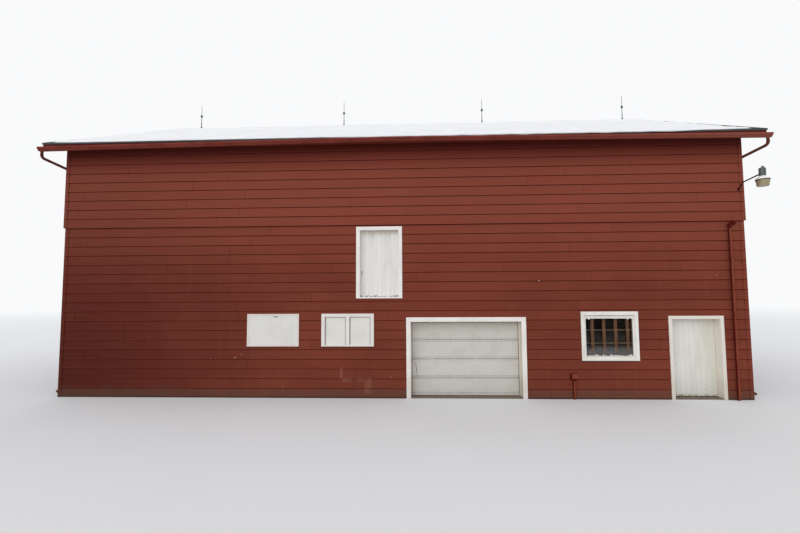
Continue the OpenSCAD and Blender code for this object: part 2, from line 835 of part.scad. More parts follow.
// Soffit boards below the rafters between two distances from the ridge
module soffit(x0, x1, s0, s1) {
    along_x(x0, x1, [[s0, soffit_low(s0)], [s1, soffit_low(s1)], [s1, soffit_z(s1)], [s0, soffit_z(s0)]]);
}

// Upright board at each eave, with a soffit that follows the rafters back to the wall
module eave_boards() color(siding_red) both_sides() {
    block([-rake_in, tail_s, soffit_low(tail_s)], [rake_in, eave_s, seat_z(eave_s)]);
    soffit(-rake_in, rake_in, up_y, tail_s);
}

// Sloping board at each end of the roof, with a soffit behind it
module rake_boards() color(siding_red) both_ends() both_sides() {
    drop = rake_h / tilt;
    along_x(rake_in, rake_x, [
        [0, seat_z(0)], [0, seat_z(0) - drop], [eave_s, seat_z(eave_s) - drop], [eave_s, seat_z(eave_s)]
    ]);
    soffit(up_x, rake_in, 0, up_y);
}

// Outline of a gutter in (y, z) from its top back corner, moved in by t
function gutter_line(t) = concat(
    [[t, 0], [t, -gutter_h + t]],
    [for (i = [0 : gutter_steps]) let (u = i / gutter_steps) [
        gutter_base - t + (gutter_w - gutter_base) * (1 - cos(180 * u)) / 2,
        -gutter_h + t + (gutter_h - gutter_lip - t) * u
    ]],
    [[gutter_w - t, 0]]
);

// A length of gutter section that falls from the middle to one end, moved in by t, its top raised by lift
module gutter_half(t, lift = 0) intersection() {
    rotate([0, gutter_tilt, 0]) translate([0, 0, lift]) along_x(-gutter_w, gutter_x - t, gutter_line(t));
    block([0, 0, -gutter_fall - 2 * gutter_h], [2 * gutter_x, gutter_w, gutter_w]);
}

// Trough with closed ends, an outlet near each end and a lip at the front
module gutter() {
    translate([0, eave_s, gutter_top]) difference() {
        both_ends() gutter_half(0);
        both_ends() gutter_half(gutter_t, 0.01);
    }
    both_ends() translate([outlet_x, mouth_y, spout_top])
        cylinder(r = gutter_base / 2 - outlet_in, h = outlet_h + outlet_in, $fn = 32);
}

module front_gutter() color(siding_red) mirror([0, 1, 0]) gutter();
module rear_gutter() color(siding_red) gutter();

// A bend of a pipe that comes down to the origin and turns by angle a towards +X, with bend radius turn
// and a sleeve over the joint at each end
module pipe_bend(r, turn, a) {
    reach = 4 * turn;
    translate([turn, 0, 0]) rotate([90, 0, 0]) intersection() {
        rotate_extrude($fn = 72) translate([turn, 0]) circle(r = r, $fn = 32);
        translate([0, 0, -2 * r]) linear_extrude(height = 4 * r)
            polygon([[0, 0], [-reach, 0], [-reach * cos(a), -reach * sin(a)]]);
    }
    cylinder(r = r + sleeve_t, h = sleeve_h, center = true, $fn = 32);
    translate([turn * (1 - cos(a)), 0, -turn * sin(a)]) rotate([0, 180 - a, 0])
        cylinder(r = r + sleeve_t, h = sleeve_h, center = true, $fn = 32);
}

// A straight pipe from the origin, down and towards +X at angle a from upright
module pipe_run(r, length, a) rotate([0, 180 - a, 0]) cylinder(r = r, h = length, $fn = 32);

// Swan neck from the gutter's outlet back to the gable wall
module spout_neck() {
    turn_a = atan2(spout_y - mouth_y, spout_x - outlet_x);
    translate([outlet_x, mouth_y, spout_top]) rotate([0, 0, turn_a]) {
        translate([0, 0, -neck_drop]) {
            cylinder(r = spout_r, h = neck_drop, $fn = 32);
            pipe_bend(spout_r, bend_r, neck_a);
            translate([bend_in, 0, -bend_down]) pipe_run(spout_r, neck_l, neck_a);
        }
        translate([neck_reach, 0, spout_turn - spout_top]) rotate([0, 180, 0])
            pipe_bend(spout_r, bend_r, neck_a);
    }
}

// Flat band round a downspout, with a lug to the gable wall
module spout_band(z) {
    wall = z < belt_z ? w2 : up_x;
    translate([spout_x, spout_y, z]) cylinder(r = spout_r + band_t, h = band_h, $fn = 32);
    block([wall, spout_y - band_h / 2, z], [spout_x, spout_y + band_h / 2, z + band_h]);
}

// Downspout with its neck, its bands and a foot that kicks out
module downspout() {
    spout_neck();
    translate([spout_x, spout_y, spout_foot]) {
        cylinder(r = spout_r, h = spout_turn - spout_foot, $fn = 32);
        pipe_bend(spout_r, bend_r, kick_a);
        translate([bend_r * (1 - cos(kick_a)), 0, -bend_r * sin(kick_a)]) pipe_run(spout_r, kick_l, kick_a);
    }
    for (z = gable_bands) spout_band(z);
}

module downspouts() color(siding_red) both_ends() both_sides() downspout();

// Lightning rod on a saddle that straddles the ridge cap, with a glass ball at mid height
module lightning_rod() {
    ball_r = 48;
    foot = top_z(0) + (cap_t + 2 * seat_gap) / tilt;
    saddle = 90;
    saddle_t = 8;
    clamp_r = 26;
    lower_r = 13;
    upper_r = 9;
    collar_r = 22;
    side = foot - saddle * slope;
    along_x(-saddle / 2, saddle / 2, [
        [-saddle, side], [0, foot], [saddle, side],
        [saddle, side + saddle_t], [0, foot + saddle_t], [-saddle, side + saddle_t]
    ]);
    translate([0, 0, foot + saddle_t / 2]) rotate_extrude($fn = 24) polygon([
        [0, 0], [clamp_r, 0], [clamp_r, 0.08 * rod_h], [lower_r, 0.11 * rod_h], [lower_r, 0.18 * rod_h],
        [collar_r, 0.19 * rod_h], [collar_r, 0.21 * rod_h], [lower_r, 0.22 * rod_h], [lower_r, 0.5 * rod_h],
        [upper_r, 0.55 * rod_h], [upper_r, 0.9 * rod_h], [0, rod_h]
    ]);
    translate([0, 0, foot + rod_h * 0.52]) sphere(r = ball_r, $fn = 32);
}

module lightning_rods() color(galvanised) for (x = rod_x) translate([x, 0, 0]) lightning_rod();

// A round bar between two points that lie in one plane across X
module bar(a, b, r) {
    d = b - a;
    translate(a) rotate([acos(d[2] / norm(d)), 0, 0]) cylinder(r = r, h = norm(d), $fn = 32);
}

// Lamp on a bent arm fixed to the front wall near the corner, with a shade and a lens below its case
module yard_light() color(galvanised) translate([lamp_x, -up_y, lamp_z]) {
    arm_r = 20;
    knuckle_r = 25;
    plate_t = 14;
    wrist = [0, -58, 10];
    knee = [0, -165, 155];
    tip = [0, -lamp_reach, 230];
    lens_r = 146;
    lens_foot_r = 126;
    lens_z = [-118, 44];
    rim_t = 12;
    case_r = 70;
    case_z = [152, 372];
    bevel = 20;
    cap_r = 30;
    cap_h = 38;
    cap_out = 18;
    rotate([90, 0, 0]) cylinder(r = lamp_base_r, h = plate_t, $fn = 32);
    bar([0, -plate_t / 2, 0], wrist, arm_r);
    bar(wrist, knee, arm_r);
    bar(knee, tip, arm_r);
    for (p = [wrist, knee]) translate(p) sphere(r = knuckle_r, $fn = 32);
    translate([0, -lamp_reach, 0]) rotate_extrude($fn = 48) polygon([
        [0, lens_z[0]], [lens_foot_r, lens_z[0]], [lens_r, lens_z[1]], [lens_r + rim_t, lens_z[1]],
        [lens_r + rim_t, lens_z[1] + rim_t], [case_r + bevel, case_z[0] - bevel / 2], [case_r, case_z[0]],
        [case_r, case_z[1] - bevel], [case_r - bevel, case_z[1]], [0, case_z[1]]
    ]);
    translate([0, -lamp_reach - cap_out, case_z[1] - cap_h]) cylinder(r = cap_r, h = 2 * cap_h, $fn = 32);
}

// Small service box on the wall with a pipe down to the ground
module wall_box() color(siding_red) {
    translate([box_x - box_size[0] / 2, -d2 - box_size[1], box_z]) cube(box_size);
    translate([box_x, -d2 - box_size[1] / 2, 0]) cylinder(r = pipe_r, h = box_z + 1, $fn = 32);
}

// Pipe up the front wall that turns over in a hood just below the belt line, held by straps
module service_mast() color(siding_red) translate([mast_x, -d2 - mast_out, 0]) {
    strap_h = 30;
    strap_w = 130;
    strap_t = 5;
    cylinder(r = mast_r, h = mast_top, $fn = 32);
    translate([0, 0, mast_top]) mirror([0, 0, 1]) pipe_bend(hood_r, hood_bend, hood_a);
    for (k = strap_places) translate([0, 0, mast_top - strap_first - k * strap_step]) {
        cylinder(r = mast_r + strap_t, h = strap_h, $fn = 32);
        block([-strap_h / 2, 0, 0], [strap_h / 2, mast_out, strap_h]);
        block([-strap_w / 2, mast_out - strap_t, 0], [strap_w / 2, mast_out, strap_h]);
    }
}

ground_floor();
front_wall_left();
front_wall_over_garage();
front_wall_middle();
front_wall_over_door();
front_wall_right();
front_wall_upper();
rear_wall_lower();
rear_wall_upper();
left_gable_lower();
left_gable_upper();
right_gable_lower();
right_gable_upper();
corner_boards();
garage_frame();
garage_door();
garage_tracks();
side_door_frame();
side_door();
side_door_pintles();
hay_door_frame();
hay_door();
glazed_window_frame();
glazed_window_glass();
inner_sash();
slider_window_frame();
slider_window_panels();
boarded_window();
loft_posts();
loft_girders();
loft_ledgers();
loft_joists();
loft_floor();
purlin_posts();
purlin_ties();
purlins();
knee_braces();
wall_plates();
ridge_board();
rafters();
roof_front();
roof_rear();
ridge_cap();
eave_boards();
rake_boards();
front_gutter();
rear_gutter();
downspouts();
lightning_rods();
yard_light();
wall_box();
service_mast();
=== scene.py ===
"""Siding, roofing, trim, fittings, finishes, light and camera of the red barn, in metres."""
import math
import random
import bmesh
import bpy
from mathutils import Matrix, Vector, noise


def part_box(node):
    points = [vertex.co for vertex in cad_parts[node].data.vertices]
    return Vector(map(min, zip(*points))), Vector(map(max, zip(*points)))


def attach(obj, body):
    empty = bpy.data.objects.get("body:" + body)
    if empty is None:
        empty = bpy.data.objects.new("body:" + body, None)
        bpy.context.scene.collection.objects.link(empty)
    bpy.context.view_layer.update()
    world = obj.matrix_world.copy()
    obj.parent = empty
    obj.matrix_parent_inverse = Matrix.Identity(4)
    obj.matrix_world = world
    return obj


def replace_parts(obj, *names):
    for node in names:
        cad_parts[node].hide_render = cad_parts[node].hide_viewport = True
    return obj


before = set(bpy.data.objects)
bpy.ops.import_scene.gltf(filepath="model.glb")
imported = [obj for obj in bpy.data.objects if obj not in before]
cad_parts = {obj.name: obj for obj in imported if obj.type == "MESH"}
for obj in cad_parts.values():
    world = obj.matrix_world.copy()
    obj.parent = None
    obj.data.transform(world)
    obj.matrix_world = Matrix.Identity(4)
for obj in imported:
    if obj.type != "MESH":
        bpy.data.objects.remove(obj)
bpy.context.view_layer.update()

BARN = "barn"
LEAF = "side_door"

# Lines of the building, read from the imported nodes
WALL_LO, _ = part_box("front_wall_left")
UPPER_LO, UPPER_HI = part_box("front_wall_upper")
LOW_X, LOW_Y = -WALL_LO.x, -WALL_LO.y
UP_X, UP_Y = UPPER_HI.x, -UPPER_LO.y
BELT = UPPER_LO.z
ROOF_LO, ROOF_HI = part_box("roof_front")
ROOF_X = ROOF_HI.x
RIDGE = ROOF_HI.z
EAVE = -ROOF_LO.y
PITCH = math.radians(25.6)
SLOPE = math.tan(PITCH)
SLOPE_LENGTH = EAVE / math.cos(PITCH)

# The soffit rises from the eave board to the wall, and on along the gable to its peak
EAVE_BOARD_T = 0.025
EAVES_LO, EAVES_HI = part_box("eave_boards")
SOFFIT = EAVES_LO.z + (EAVES_HI.y - EAVE_BOARD_T - UP_Y) * SLOPE
GABLE_PEAK = SOFFIT + UP_Y * SLOPE

# Siding
COURSES = 18
EXPOSURE = BELT / COURSES
BUTT = 0.02
FEATHER = 0.004
STUD = 0.61
BOARD_STUDS = 8
BOARD_LENGTH = BOARD_STUDS * STUD
COURSE_BOARDS = 7
JOINT = 0.007
CORNER_COVER = 0.08

# Joints that stand out on the front: course, counted from the wall's foot, and place along it
LOW_JOINTS = {8: 0.388, 9: 0.296}
UP_JOINTS = {0: -0.328, 1: 0.357, 2: -1.235, 3: 5.407, 4: -1.047}

# Shingles
TAB_W = 0.305
TAB_H = 0.143
TAB_T = 0.006
TAB_SLOT = 0.007

# Openings: their casings, and the planks and sections in front of the leaves
GARAGE_CASING = 0.122
CASING_SKIN = 0.0015
WINDOW_SIDE = 0.088
GARAGE_LO, GARAGE_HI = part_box("garage_frame")
GARAGE_X = (GARAGE_LO.x + GARAGE_HI.x) / 2
GARAGE_STOP = 0.028
DOOR_LAP = 0.06
DOOR_HALF = GARAGE_X - GARAGE_LO.x - GARAGE_CASING + DOOR_LAP
PANEL_LIFT = 0.004
DOOR_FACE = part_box("garage_door")[0].y + PANEL_LIFT
DOOR_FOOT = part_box("garage_door")[0].z + 0.03
SECTIONS = 4
SECTION_H = (GARAGE_HI.z - GARAGE_CASING) / SECTIONS
PANELS = 5
PANEL_INSET = 0.06
HAY_LO, HAY_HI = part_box("hay_door")
LEAF_LO, LEAF_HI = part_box("side_door")
LEAF_SET = 0.004
LEAF_T = 0.035
LEAF_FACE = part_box("side_door_frame")[1].y - LEAF_SET - LEAF_T
PLANK_T = 0.004
PLANK_FACE = LEAF_FACE - PLANK_T - 0.0005
SIDING_FACE = -LOW_Y - 0.018

# Fittings beside the right corner and on the wall
MAST_LO, MAST_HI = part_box("service_mast")
MAST_MID = MAST_LO.x + 0.065
METER_LO, METER_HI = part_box("wall_box")
METER_FOOT = METER_HI.z - 0.137

# Heights of the frost and dirt on the window's lowest panes
FROST_FOOT, FROST_TOP = 1.18, 1.47
DUST_FOOT, DUST_TOP = 1.36, 1.48


def turns(count):
    """Angles spread evenly round a circle."""
    return [2 * math.pi * k / count for k in range(count)]


def level_ring(x, y, z, radius, sides):
    """Points of a circle that lies level."""
    return [(x + radius * math.cos(a), y + radius * math.sin(a), z) for a in turns(sides)]


def upright_ring(x, y, z, radius, sides):
    """Points of a circle that faces along Y."""
    return [(x + radius * math.cos(a), y, z + radius * math.sin(a)) for a in turns(sides)]


def placed(name, data):
    """A new object, linked to the scene."""
    thing = bpy.data.objects.new(name, data)
    bpy.context.scene.collection.objects.link(thing)
    return thing


class Shape:
    """Corners and faces of one joined mesh, with a tone for each face."""

    def __init__(self):
        self.points = []
        self.faces = []
        self.tones = []

    def add(self, points, faces, tone=0.5):
        base = len(self.points)
        self.points += [tuple(p) for p in points]
        self.faces += [tuple(base + i for i in face) for face in faces]
        self.tones += [tone] * len(faces)

    def prism(self, first, last, tone=0.5):
        """Two matching outlines joined by side faces, closed at both ends."""
        n = len(first)
        faces = [(i, (i + 1) % n, n + (i + 1) % n, n + i) for i in range(n)]
        faces += [tuple(reversed(range(n))), tuple(range(n, 2 * n))]
        self.add(list(first) + list(last), faces, tone)

    def box(self, lo, hi, tone=0.5):
        ring = [(lo[0], lo[1]), (hi[0], lo[1]), (hi[0], hi[1]), (lo[0], hi[1])]
        self.prism([(x, y, lo[2]) for x, y in ring], [(x, y, hi[2]) for x, y in ring], tone)

    def tube(self, path, radius, sides=16):
        """Round bar along a path of points."""
        spots = [Vector(p) for p in path]
        rings = []
        for i, spot in enumerate(spots):
            ahead = spots[min(i + 1, len(spots) - 1)] - spots[max(i - 1, 0)]
            turn = ahead.to_track_quat("Z", "Y")
            rings.append([spot + turn @ Vector(p) for p in level_ring(0, 0, 0, radius, sides)])
        self.rings(rings)

    def rings(self, rings):
        """Skin over a list of rings with as many points each, closed at both ends."""
        n = len(rings[0])
        faces = [
            (r * n + k, r * n + (k + 1) % n, (r + 1) * n + (k + 1) % n, (r + 1) * n + k)
            for r in range(len(rings) - 1) for k in range(n)
        ]
        last = (len(rings) - 1) * n
        faces += [tuple(reversed(range(n))), tuple(range(last, last + n))]
        self.add([p for ring in rings for p in ring], faces)

    def lathe(self, centre, profile, sides=32):
        """Solid of revolution about the upright line through centre, from (radius, height) pairs."""
        cx, cy, cz = centre
        self.rings([level_ring(cx, cy, cz + h, r, sides) for r, h in profile])

    def piece(self, name, finish, slot, body=BARN, bevel=0.0, smooth=False):
        """The mesh as an object that rides on a body."""
        mesh = bpy.data.meshes.new(name)
        mesh.from_pydata(self.points, [], self.faces)
        tone = mesh.attributes.new("tone", "FLOAT", "FACE")
        tone.data.foreach_set("value", self.tones)
        bm = bmesh.new()
        bm.from_mesh(mesh)
        bmesh.ops.recalc_face_normals(bm, faces=bm.faces)
        bm.to_mesh(mesh)
        bm.free()
        mesh.polygons.foreach_set("use_smooth", [smooth] * len(mesh.polygons))
        thing = placed(name, mesh)
        thing.data.materials.append(finish.material)
        if bevel:
            edge = thing.modifiers.new("edge", "BEVEL")
            edge.width = bevel
            edge.segments = 2
            edge.limit_method = "ANGLE"
        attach(thing, body)
        return thing


def boxes(name, pairs, finish, slot, body=BARN, bevel=0.0):
    """One piece made of plain boxes, each from its low corner to its high one."""
    shape = Shape()
    for lo, hi in pairs:
        shape.box(lo, hi)
    shape.piece(name, finish, slot, body, bevel)


def turned(name, centre, profile, sides, finish, slot):
    """One piece turned about the upright line through centre."""
    shape = Shape()
    shape.lathe(centre, profile, sides)
    shape.piece(name, finish, slot, smooth=True)


class Nodes:
    """Short calls for the nodes of a material or a world."""

    def __init__(self, owner, place="Object", empty=True):
        owner.use_nodes = True
        self.tree = owner.node_tree
        if empty:
            self.tree.nodes.clear()
        self.place = self.node("ShaderNodeTexCoord").outputs[place]

    def node(self, kind, sockets=None, **settings):
        """A new node with its settings, and with values or links in its sockets."""
        made = self.tree.nodes.new(kind)
        for key, value in settings.items():
            setattr(made, key, value)
        for key, value in (sockets or {}).items():
            self.put(value, made.inputs[key])
        return made

    def put(self, value, socket):
        """A link where value is a socket, or a plain number or colour."""
        if isinstance(value, bpy.types.NodeSocket):
            self.tree.links.new(value, socket)
        elif socket.type == "RGBA":
            socket.default_value = (*value, 1.0)
        else:
            socket.default_value = value

    def spread(self, stretch, shift=(0, 0, 0)):
        """The place, stretched along each axis and shifted."""
        sockets = {"Vector": self.place, "Scale": stretch, "Location": shift}
        return self.node("ShaderNodeMapping", sockets).outputs["Vector"]

    def noise(self, scale, stretch=(1, 1, 1), detail=4.0, roughness=0.55, shift=(0, 0, 0)):
        place = self.spread(stretch, shift)
        sockets = {"Vector": place, "Scale": scale, "Detail": detail, "Roughness": roughness}
        return self.node("ShaderNodeTexNoise", sockets).outputs["Fac"]

    def cells(self, scale, stretch):
        sockets = {"Vector": self.spread(stretch), "Scale": scale}
        return self.node("ShaderNodeTexVoronoi", sockets).outputs["Distance"]

    def axis(self, letter):
        """One coordinate of the place, in metres."""
        return self.node("ShaderNodeSeparateXYZ", {"Vector": self.place}).outputs[letter]

    def tone(self):
        """The face's own tone, from 0 to 1."""
        return self.node("ShaderNodeAttribute", attribute_name="tone").outputs["Fac"]

    def sum(self, kind, a, b=0.0):
        return self.node("ShaderNodeMath", {0: a, 1: b}, operation=kind).outputs["Value"]

    def times(self, a, b):
        return self.sum("MULTIPLY", a, b)

    def distance(self, value, middle):
        return self.sum("ABSOLUTE", self.sum("SUBTRACT", value, middle))

    def rows(self, value, size):
        """The share of a row's height that has been passed, from 0 to 1 in each row."""
        return self.sum("FRACT", self.sum("DIVIDE", value, size))

    def ramp(self, value, low, high, start=0.0, end=1.0, kind="SMOOTHSTEP"):
        """Value between low and high as a share from start to end, held at its ends."""
        sockets = {"Value": value, "From Min": low, "From Max": high, "To Min": start, "To Max": end}
        return self.node("ShaderNodeMapRange", sockets, interpolation_type=kind).outputs["Result"]

    def uneven(self, value, noise, reach):
        """Value pushed up and down by as much as reach, as the noise goes."""
        return self.sum("ADD", value, self.ramp(noise, 0.3, 0.7, -reach, reach))

    def between(self, value, low, high, soft=0.03):
        """1 where value lies between low and high, fading to 0 past both."""
        rise = self.ramp(value, low - soft, low + soft)
        return self.times(rise, self.ramp(value, high - soft, high + soft, 1.0, 0.0))

    def mix(self, share, a, b):
        return self.node("ShaderNodeMix", {"Factor": share, 6: a, 7: b}, data_type="RGBA").outputs[2]

    def over(self, base, colour, *ramp):
        """A colour laid over base, by the share that a ramp gives."""
        return self.mix(self.ramp(*ramp), base, colour)

    def shaders(self, share, a, b):
        """Two shaders' first outputs, mixed by a share."""
        sockets = {0: share, 1: a.outputs[0], 2: b.outputs[0]}
        return self.node("ShaderNodeMixShader", sockets).outputs["Shader"]


class Finish(Nodes):
    """One procedural material on the usual shader."""

    def __init__(self, name, roughness=0.6, specular=0.5, **sockets):
        self.material = bpy.data.materials.new(name)
        super().__init__(self.material, empty=False)
        self.shader = self.tree.nodes["Principled BSDF"]
        self.shader.inputs["Roughness"].default_value = roughness
        self.shader.inputs["Specular IOR Level"].default_value = specular
        for key, value in sockets.items():
            self.shader.inputs[key.replace("_", " ")].default_value = value

    def colour(self, value):
        self.put(value, self.shader.inputs["Base Color"])
        return self

    def rough(self, value, low, high):
        self.put(self.ramp(value, 0.3, 0.7, low, high), self.shader.inputs["Roughness"])
        return self

    def bump(self, height, distance, strength=0.6):
        sockets = {"Strength": strength, "Distance": distance, "Height": height}
        self.put(self.node("ShaderNodeBump", sockets).outputs["Normal"], self.shader.inputs["Normal"])
        return self


def shade(colour, share):
    """The colour made darker, to a share of itself."""
    return tuple(share * c for c in colour)


def barn_red(name, inside=False):
    """Dull red paint on boards, uneven by board: lighter high up (fading and painted light), painted shade
    with unfaded paint under the eaves, painted shade with dirt under the laps, a painted highlight on each
    butt and a painted shadow at the foot.
    """
    f = Finish(name, specular=0.1)
    grain = f.noise(1.0, (1.2, 1.2, 60), detail=6)
    patches = f.noise(0.55, detail=3, shift=(4, 1, 2))
    streaks = f.noise(1.0, (7, 7, 0.5), detail=3)
    height = f.axis("Z")
    base = f.over((0.178, 0.0398, 0.023), (0.204, 0.047, 0.0272), patches, 0.35, 0.65)
    base = f.over(base, (0.14, 0.025, 0.016), f.tone(), 0.0, 1.0, 0.0, 0.32)
    base = f.over(base, (0.12, 0.022, 0.014), grain, 0.45, 0.75, 0.0, 0.2)
    base = f.over(base, (0.245, 0.07, 0.045), streaks, 0.52, 0.75, 0.0, 0.15)
    # Lighter towards the upper storey: faded paint, and painted light for a lower wall that gets less light
    base = f.over(base, (0.251, 0.0625, 0.0385), height, BELT - 1.9, BELT + 0.7, 0.0, 0.66)
    # Painted shade under the eaves, with unfaded paint there
    base = f.over(base, (0.135, 0.02, 0.015), height, SOFFIT - 1.0, SOFFIT - 0.05, 0.0, 0.95)
    # Darker towards the front's left end, most at its foot
    base = f.mix(left_end_darkening(f, height), base, (0.045, 0.004, 0.002))
    course = f.rows(height, EXPOSURE)
    # Painted shade with dirt along the top of each course, under the lap above
    base = f.over(base, (0.066, 0.003, 0.002), course, 0.88, 0.96, 0.0, 0.92)
    # Painted highlight with wear along each board's butt
    base = f.over(base, (0.3, 0.095, 0.065), course, 0.06, 0.0, 0.0, 0.35)
    splash = f.uneven(height, f.noise(2.2, detail=6), 0.12)
    base = f.over(base, (0.085, 0.038, 0.027), splash, 0.02, 0.4, 0.45, 0.0)
    base = f.over(base, (0.125, 0.08, 0.056), height, 0.245, 0.215, 0.0, 0.28)
    # Painted shadow along the wall's foot, where it meets the ground
    base = f.over(base, (0.03, 0.018, 0.013), height, 0.05, 0.012, 0.0, 0.8)
    base = f.mix(rubbed_patch(f, height), base, (0.3, 0.135, 0.1))
    if inside:
        base = f.mix(inner_share(f), base, bare_boards(f))
    return f.colour(base).rough(grain, 0.68, 0.88).bump(grain, 0.0012)


def rubbed_patch(f, height):
    """Share of a faint worn corner and a stroke beside it, low on the front wall."""
    stroke_x, corner_x, corner_z = -1.51, -0.75, 0.505
    along = f.axis("X")
    rough = f.ramp(f.noise(4, detail=6), 0.3, 0.66)
    stroke = f.ramp(f.distance(along, stroke_x), 0.06, 0.015, 0.0, 0.34)
    stroke = f.times(stroke, f.between(height, 0.54, 0.86))
    bar = f.ramp(f.distance(height, corner_z), 0.1, 0.01, 0.0, 0.4)
    bar = f.times(bar, f.between(along, -1.46, -0.66))
    leg = f.ramp(f.distance(along, corner_x), 0.16, 0.02, 0.0, 0.4)
    leg = f.times(leg, f.between(height, 0.12, 0.5))
    marks = f.sum("MAXIMUM", stroke, f.times(f.sum("MAXIMUM", bar, leg), rough))
    return f.times(marks, f.sum("LESS_THAN", f.axis("Y"), -LOW_Y - 0.001))


def left_end_darkening(f, height):
    """Share of darkening at the front's left end, most at its foot, fading round the corner."""
    along = f.ramp(f.axis("X"), -UP_X - 0.7, -1.5, 1.0, 0.0)
    round_corner = f.ramp(f.axis("Y"), -UP_Y, -2.0, 1.0, 0.0)
    low = f.ramp(height, 0.0, SOFFIT, 0.78, 0.14)
    return f.times(f.times(along, round_corner), low)


def inner_share(f):
    """1 on the wall's inner faces, which are left unpainted."""
    _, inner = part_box("loft_floor")
    across = f.sum("LESS_THAN", f.sum("ABSOLUTE", f.axis("X")), inner.x + 0.002)
    deep = f.sum("LESS_THAN", f.sum("ABSOLUTE", f.axis("Y")), inner.y + 0.002)
    return f.times(across, deep)


def bare_boards(f):
    """Colour of unpainted boards laid level, 180 mm wide."""
    fibre = f.noise(1.0, (1.5, 1.5, 45), detail=7)
    row = f.rows(f.axis("Z"), 0.18)
    base = f.mix(fibre, (0.3, 0.19, 0.1), (0.17, 0.1, 0.055))
    return f.over(base, (0.03, 0.018, 0.012), row, 0.03, 0.0)


def timber(name, pale, dark, along):
    """Sawn timber with its grain along one axis."""
    f = Finish(name, specular=0.25)
    stretch = {"X": (1.5, 30, 30), "Y": (30, 1.5, 30), "Z": (30, 30, 1.5)}[along]
    fibre = f.noise(1.0, stretch, detail=8, roughness=0.65)
    knots = f.cells(0.9, tuple(0.35 * s + 0.7 for s in stretch))
    base = f.over(pale, dark, fibre, 0.3, 0.7)
    base = f.over(base, shade(dark, 0.4), knots, 0.1, 0.0, 0.0, 0.7)
    return f.colour(base).rough(fibre, 0.65, 0.85).bump(fibre, 0.0015)


def floor_boards(name):
    """Loft boards that run along the building, 150 mm wide."""
    f = Finish(name, specular=0.25)
    fibre = f.noise(1.0, (1.2, 30, 30), detail=8, roughness=0.65)
    row = f.rows(f.axis("Y"), 0.15)
    seam = f.ramp(row, 0.03, 0.0)
    base = f.over((0.3, 0.2, 0.12), (0.19, 0.12, 0.07), fibre, 0.3, 0.7)
    f.colour(f.mix(seam, base, (0.03, 0.02, 0.014))).rough(fibre, 0.6, 0.85)
    return f.bump(f.sum("SUBTRACT", fibre, seam), 0.004)


def pale_paint(name, clean, worn, dirty, soil=0.5, grain_along="Z", head=None):
    """Old pale paint on wood, with faint grain, blotches and dirt that grows towards the foot, and painted
    shade with yellowing below a given head.
    """
    f = Finish(name, specular=0.35)
    stretch = {"X": (1.5, 40, 40), "Z": (40, 40, 1.5)}[grain_along]
    grain = f.noise(1.0, stretch, detail=6)
    blotch = f.noise(2.4, detail=5, shift=(3, 7, 1))
    fleck = f.noise(38, detail=3)
    base = f.over(clean, worn, blotch, 0.42, 0.68, 0.0, 0.7)
    base = f.over(base, worn, grain, 0.55, 0.8, 0.0, 0.35)
    low = f.uneven(f.axis("Z"), blotch, 0.15)
    base = f.over(base, dirty, low, 0.35, 0.75, soil, 0.0)
    base = f.over(base, dirty, fleck, 0.7, 0.76, 0.0, 0.5)
    # Darker and yellower below a given head: painted shade from the head, with yellowed paint
    if head:
        base = f.over(base, (0.5, 0.47, 0.395), f.axis("Z"), head - 0.55, head, 0.0, 0.5)
    return f.colour(base).rough(grain, 0.45, 0.65).bump(grain, 0.0008)


def peeling_paint(name, clean, bare, foot, band, stain=None):
    """Pale paint on upright planks, peeled off at their lower ends.

    A leaf is stained between two places along X, or else darkened under the hay door's head by painted shade
    with dirt.
    """
    f = Finish(name, specular=0.3)
    grain = f.noise(1.0, (40, 40, 1.5), detail=6)
    chips = f.noise(26, (1, 1, 0.8), detail=5, roughness=0.7)
    tint = f.noise(1.6, (3, 3, 0.6), shift=(2, 5, 0))
    base = f.over(clean, shade(clean, 0.86), tint, 0.4, 0.7, 0.0, 0.7)
    base = f.over(base, shade(clean, 0.72), f.tone(), 0.0, 1.0, 0.0, 0.16)
    if stain:
        side = f.ramp(f.uneven(f.axis("X"), tint, 0.1), *stain, 0.0, 0.55)
        base = f.mix(side, base, tuple(k * c for k, c in zip((0.8, 0.79, 0.66), clean)))
        base = f.over(base, shade(clean, 0.74), f.axis("Z"), foot + 0.7, foot, 0.0, 0.45)
    else:
        # Painted shade with dirt under the hay door's head
        head = f.uneven(f.axis("Z"), tint, 0.1)
        base = f.over(base, (0.5, 0.41, 0.3), head, HAY_HI.z - 0.2, HAY_HI.z, 0.0, 0.45)
    near = f.ramp(f.axis("Z"), foot, foot + band, 0.2, -0.12)
    lost = f.ramp(f.sum("ADD", chips, near), 0.66, 0.7)
    base = f.over(base, shade(clean, 0.7), grain, 0.5, 0.8, 0.0, 0.25)
    f.colour(f.mix(lost, base, bare)).rough(grain, 0.5, 0.7)
    return f.bump(f.sum("SUBTRACT", grain, lost), 0.0015)


def gutter_red(name):
    """Red paint of the gutters, lighter towards their right ends."""
    f = Finish(name, specular=0.08)
    stains = f.noise(1.8, (1, 1, 2.5), detail=6)
    streaks = f.noise(1.0, (9, 9, 0.6))
    base = f.over((0.21, 0.044, 0.031), (0.16, 0.032, 0.023), stains, 0.35, 0.7)
    base = f.over(base, (0.27, 0.082, 0.058), f.axis("X"), 2.5, 9.5, 0.0, 0.7)
    base = f.over(base, (0.12, 0.022, 0.016), streaks, 0.5, 0.75, 0.0, 0.3)
    return f.colour(base).rough(stains, 0.6, 0.8)


def seam_dirt(name, foot, head):
    """Dirt between planks, most at their ends."""
    f = Finish(name, 0.85, specular=0.1)
    height = f.uneven(f.axis("Z"), f.noise(5, detail=5), 0.12)
    low = f.ramp(height, foot + 0.5, foot + 0.05, 0.15, 1.0)
    high = f.ramp(height, head - 0.4, head - 0.02, 0.15, 0.9)
    return f.colour(f.mix(f.sum("MAXIMUM", low, high), (0.74, 0.71, 0.66), (0.2, 0.165, 0.12)))


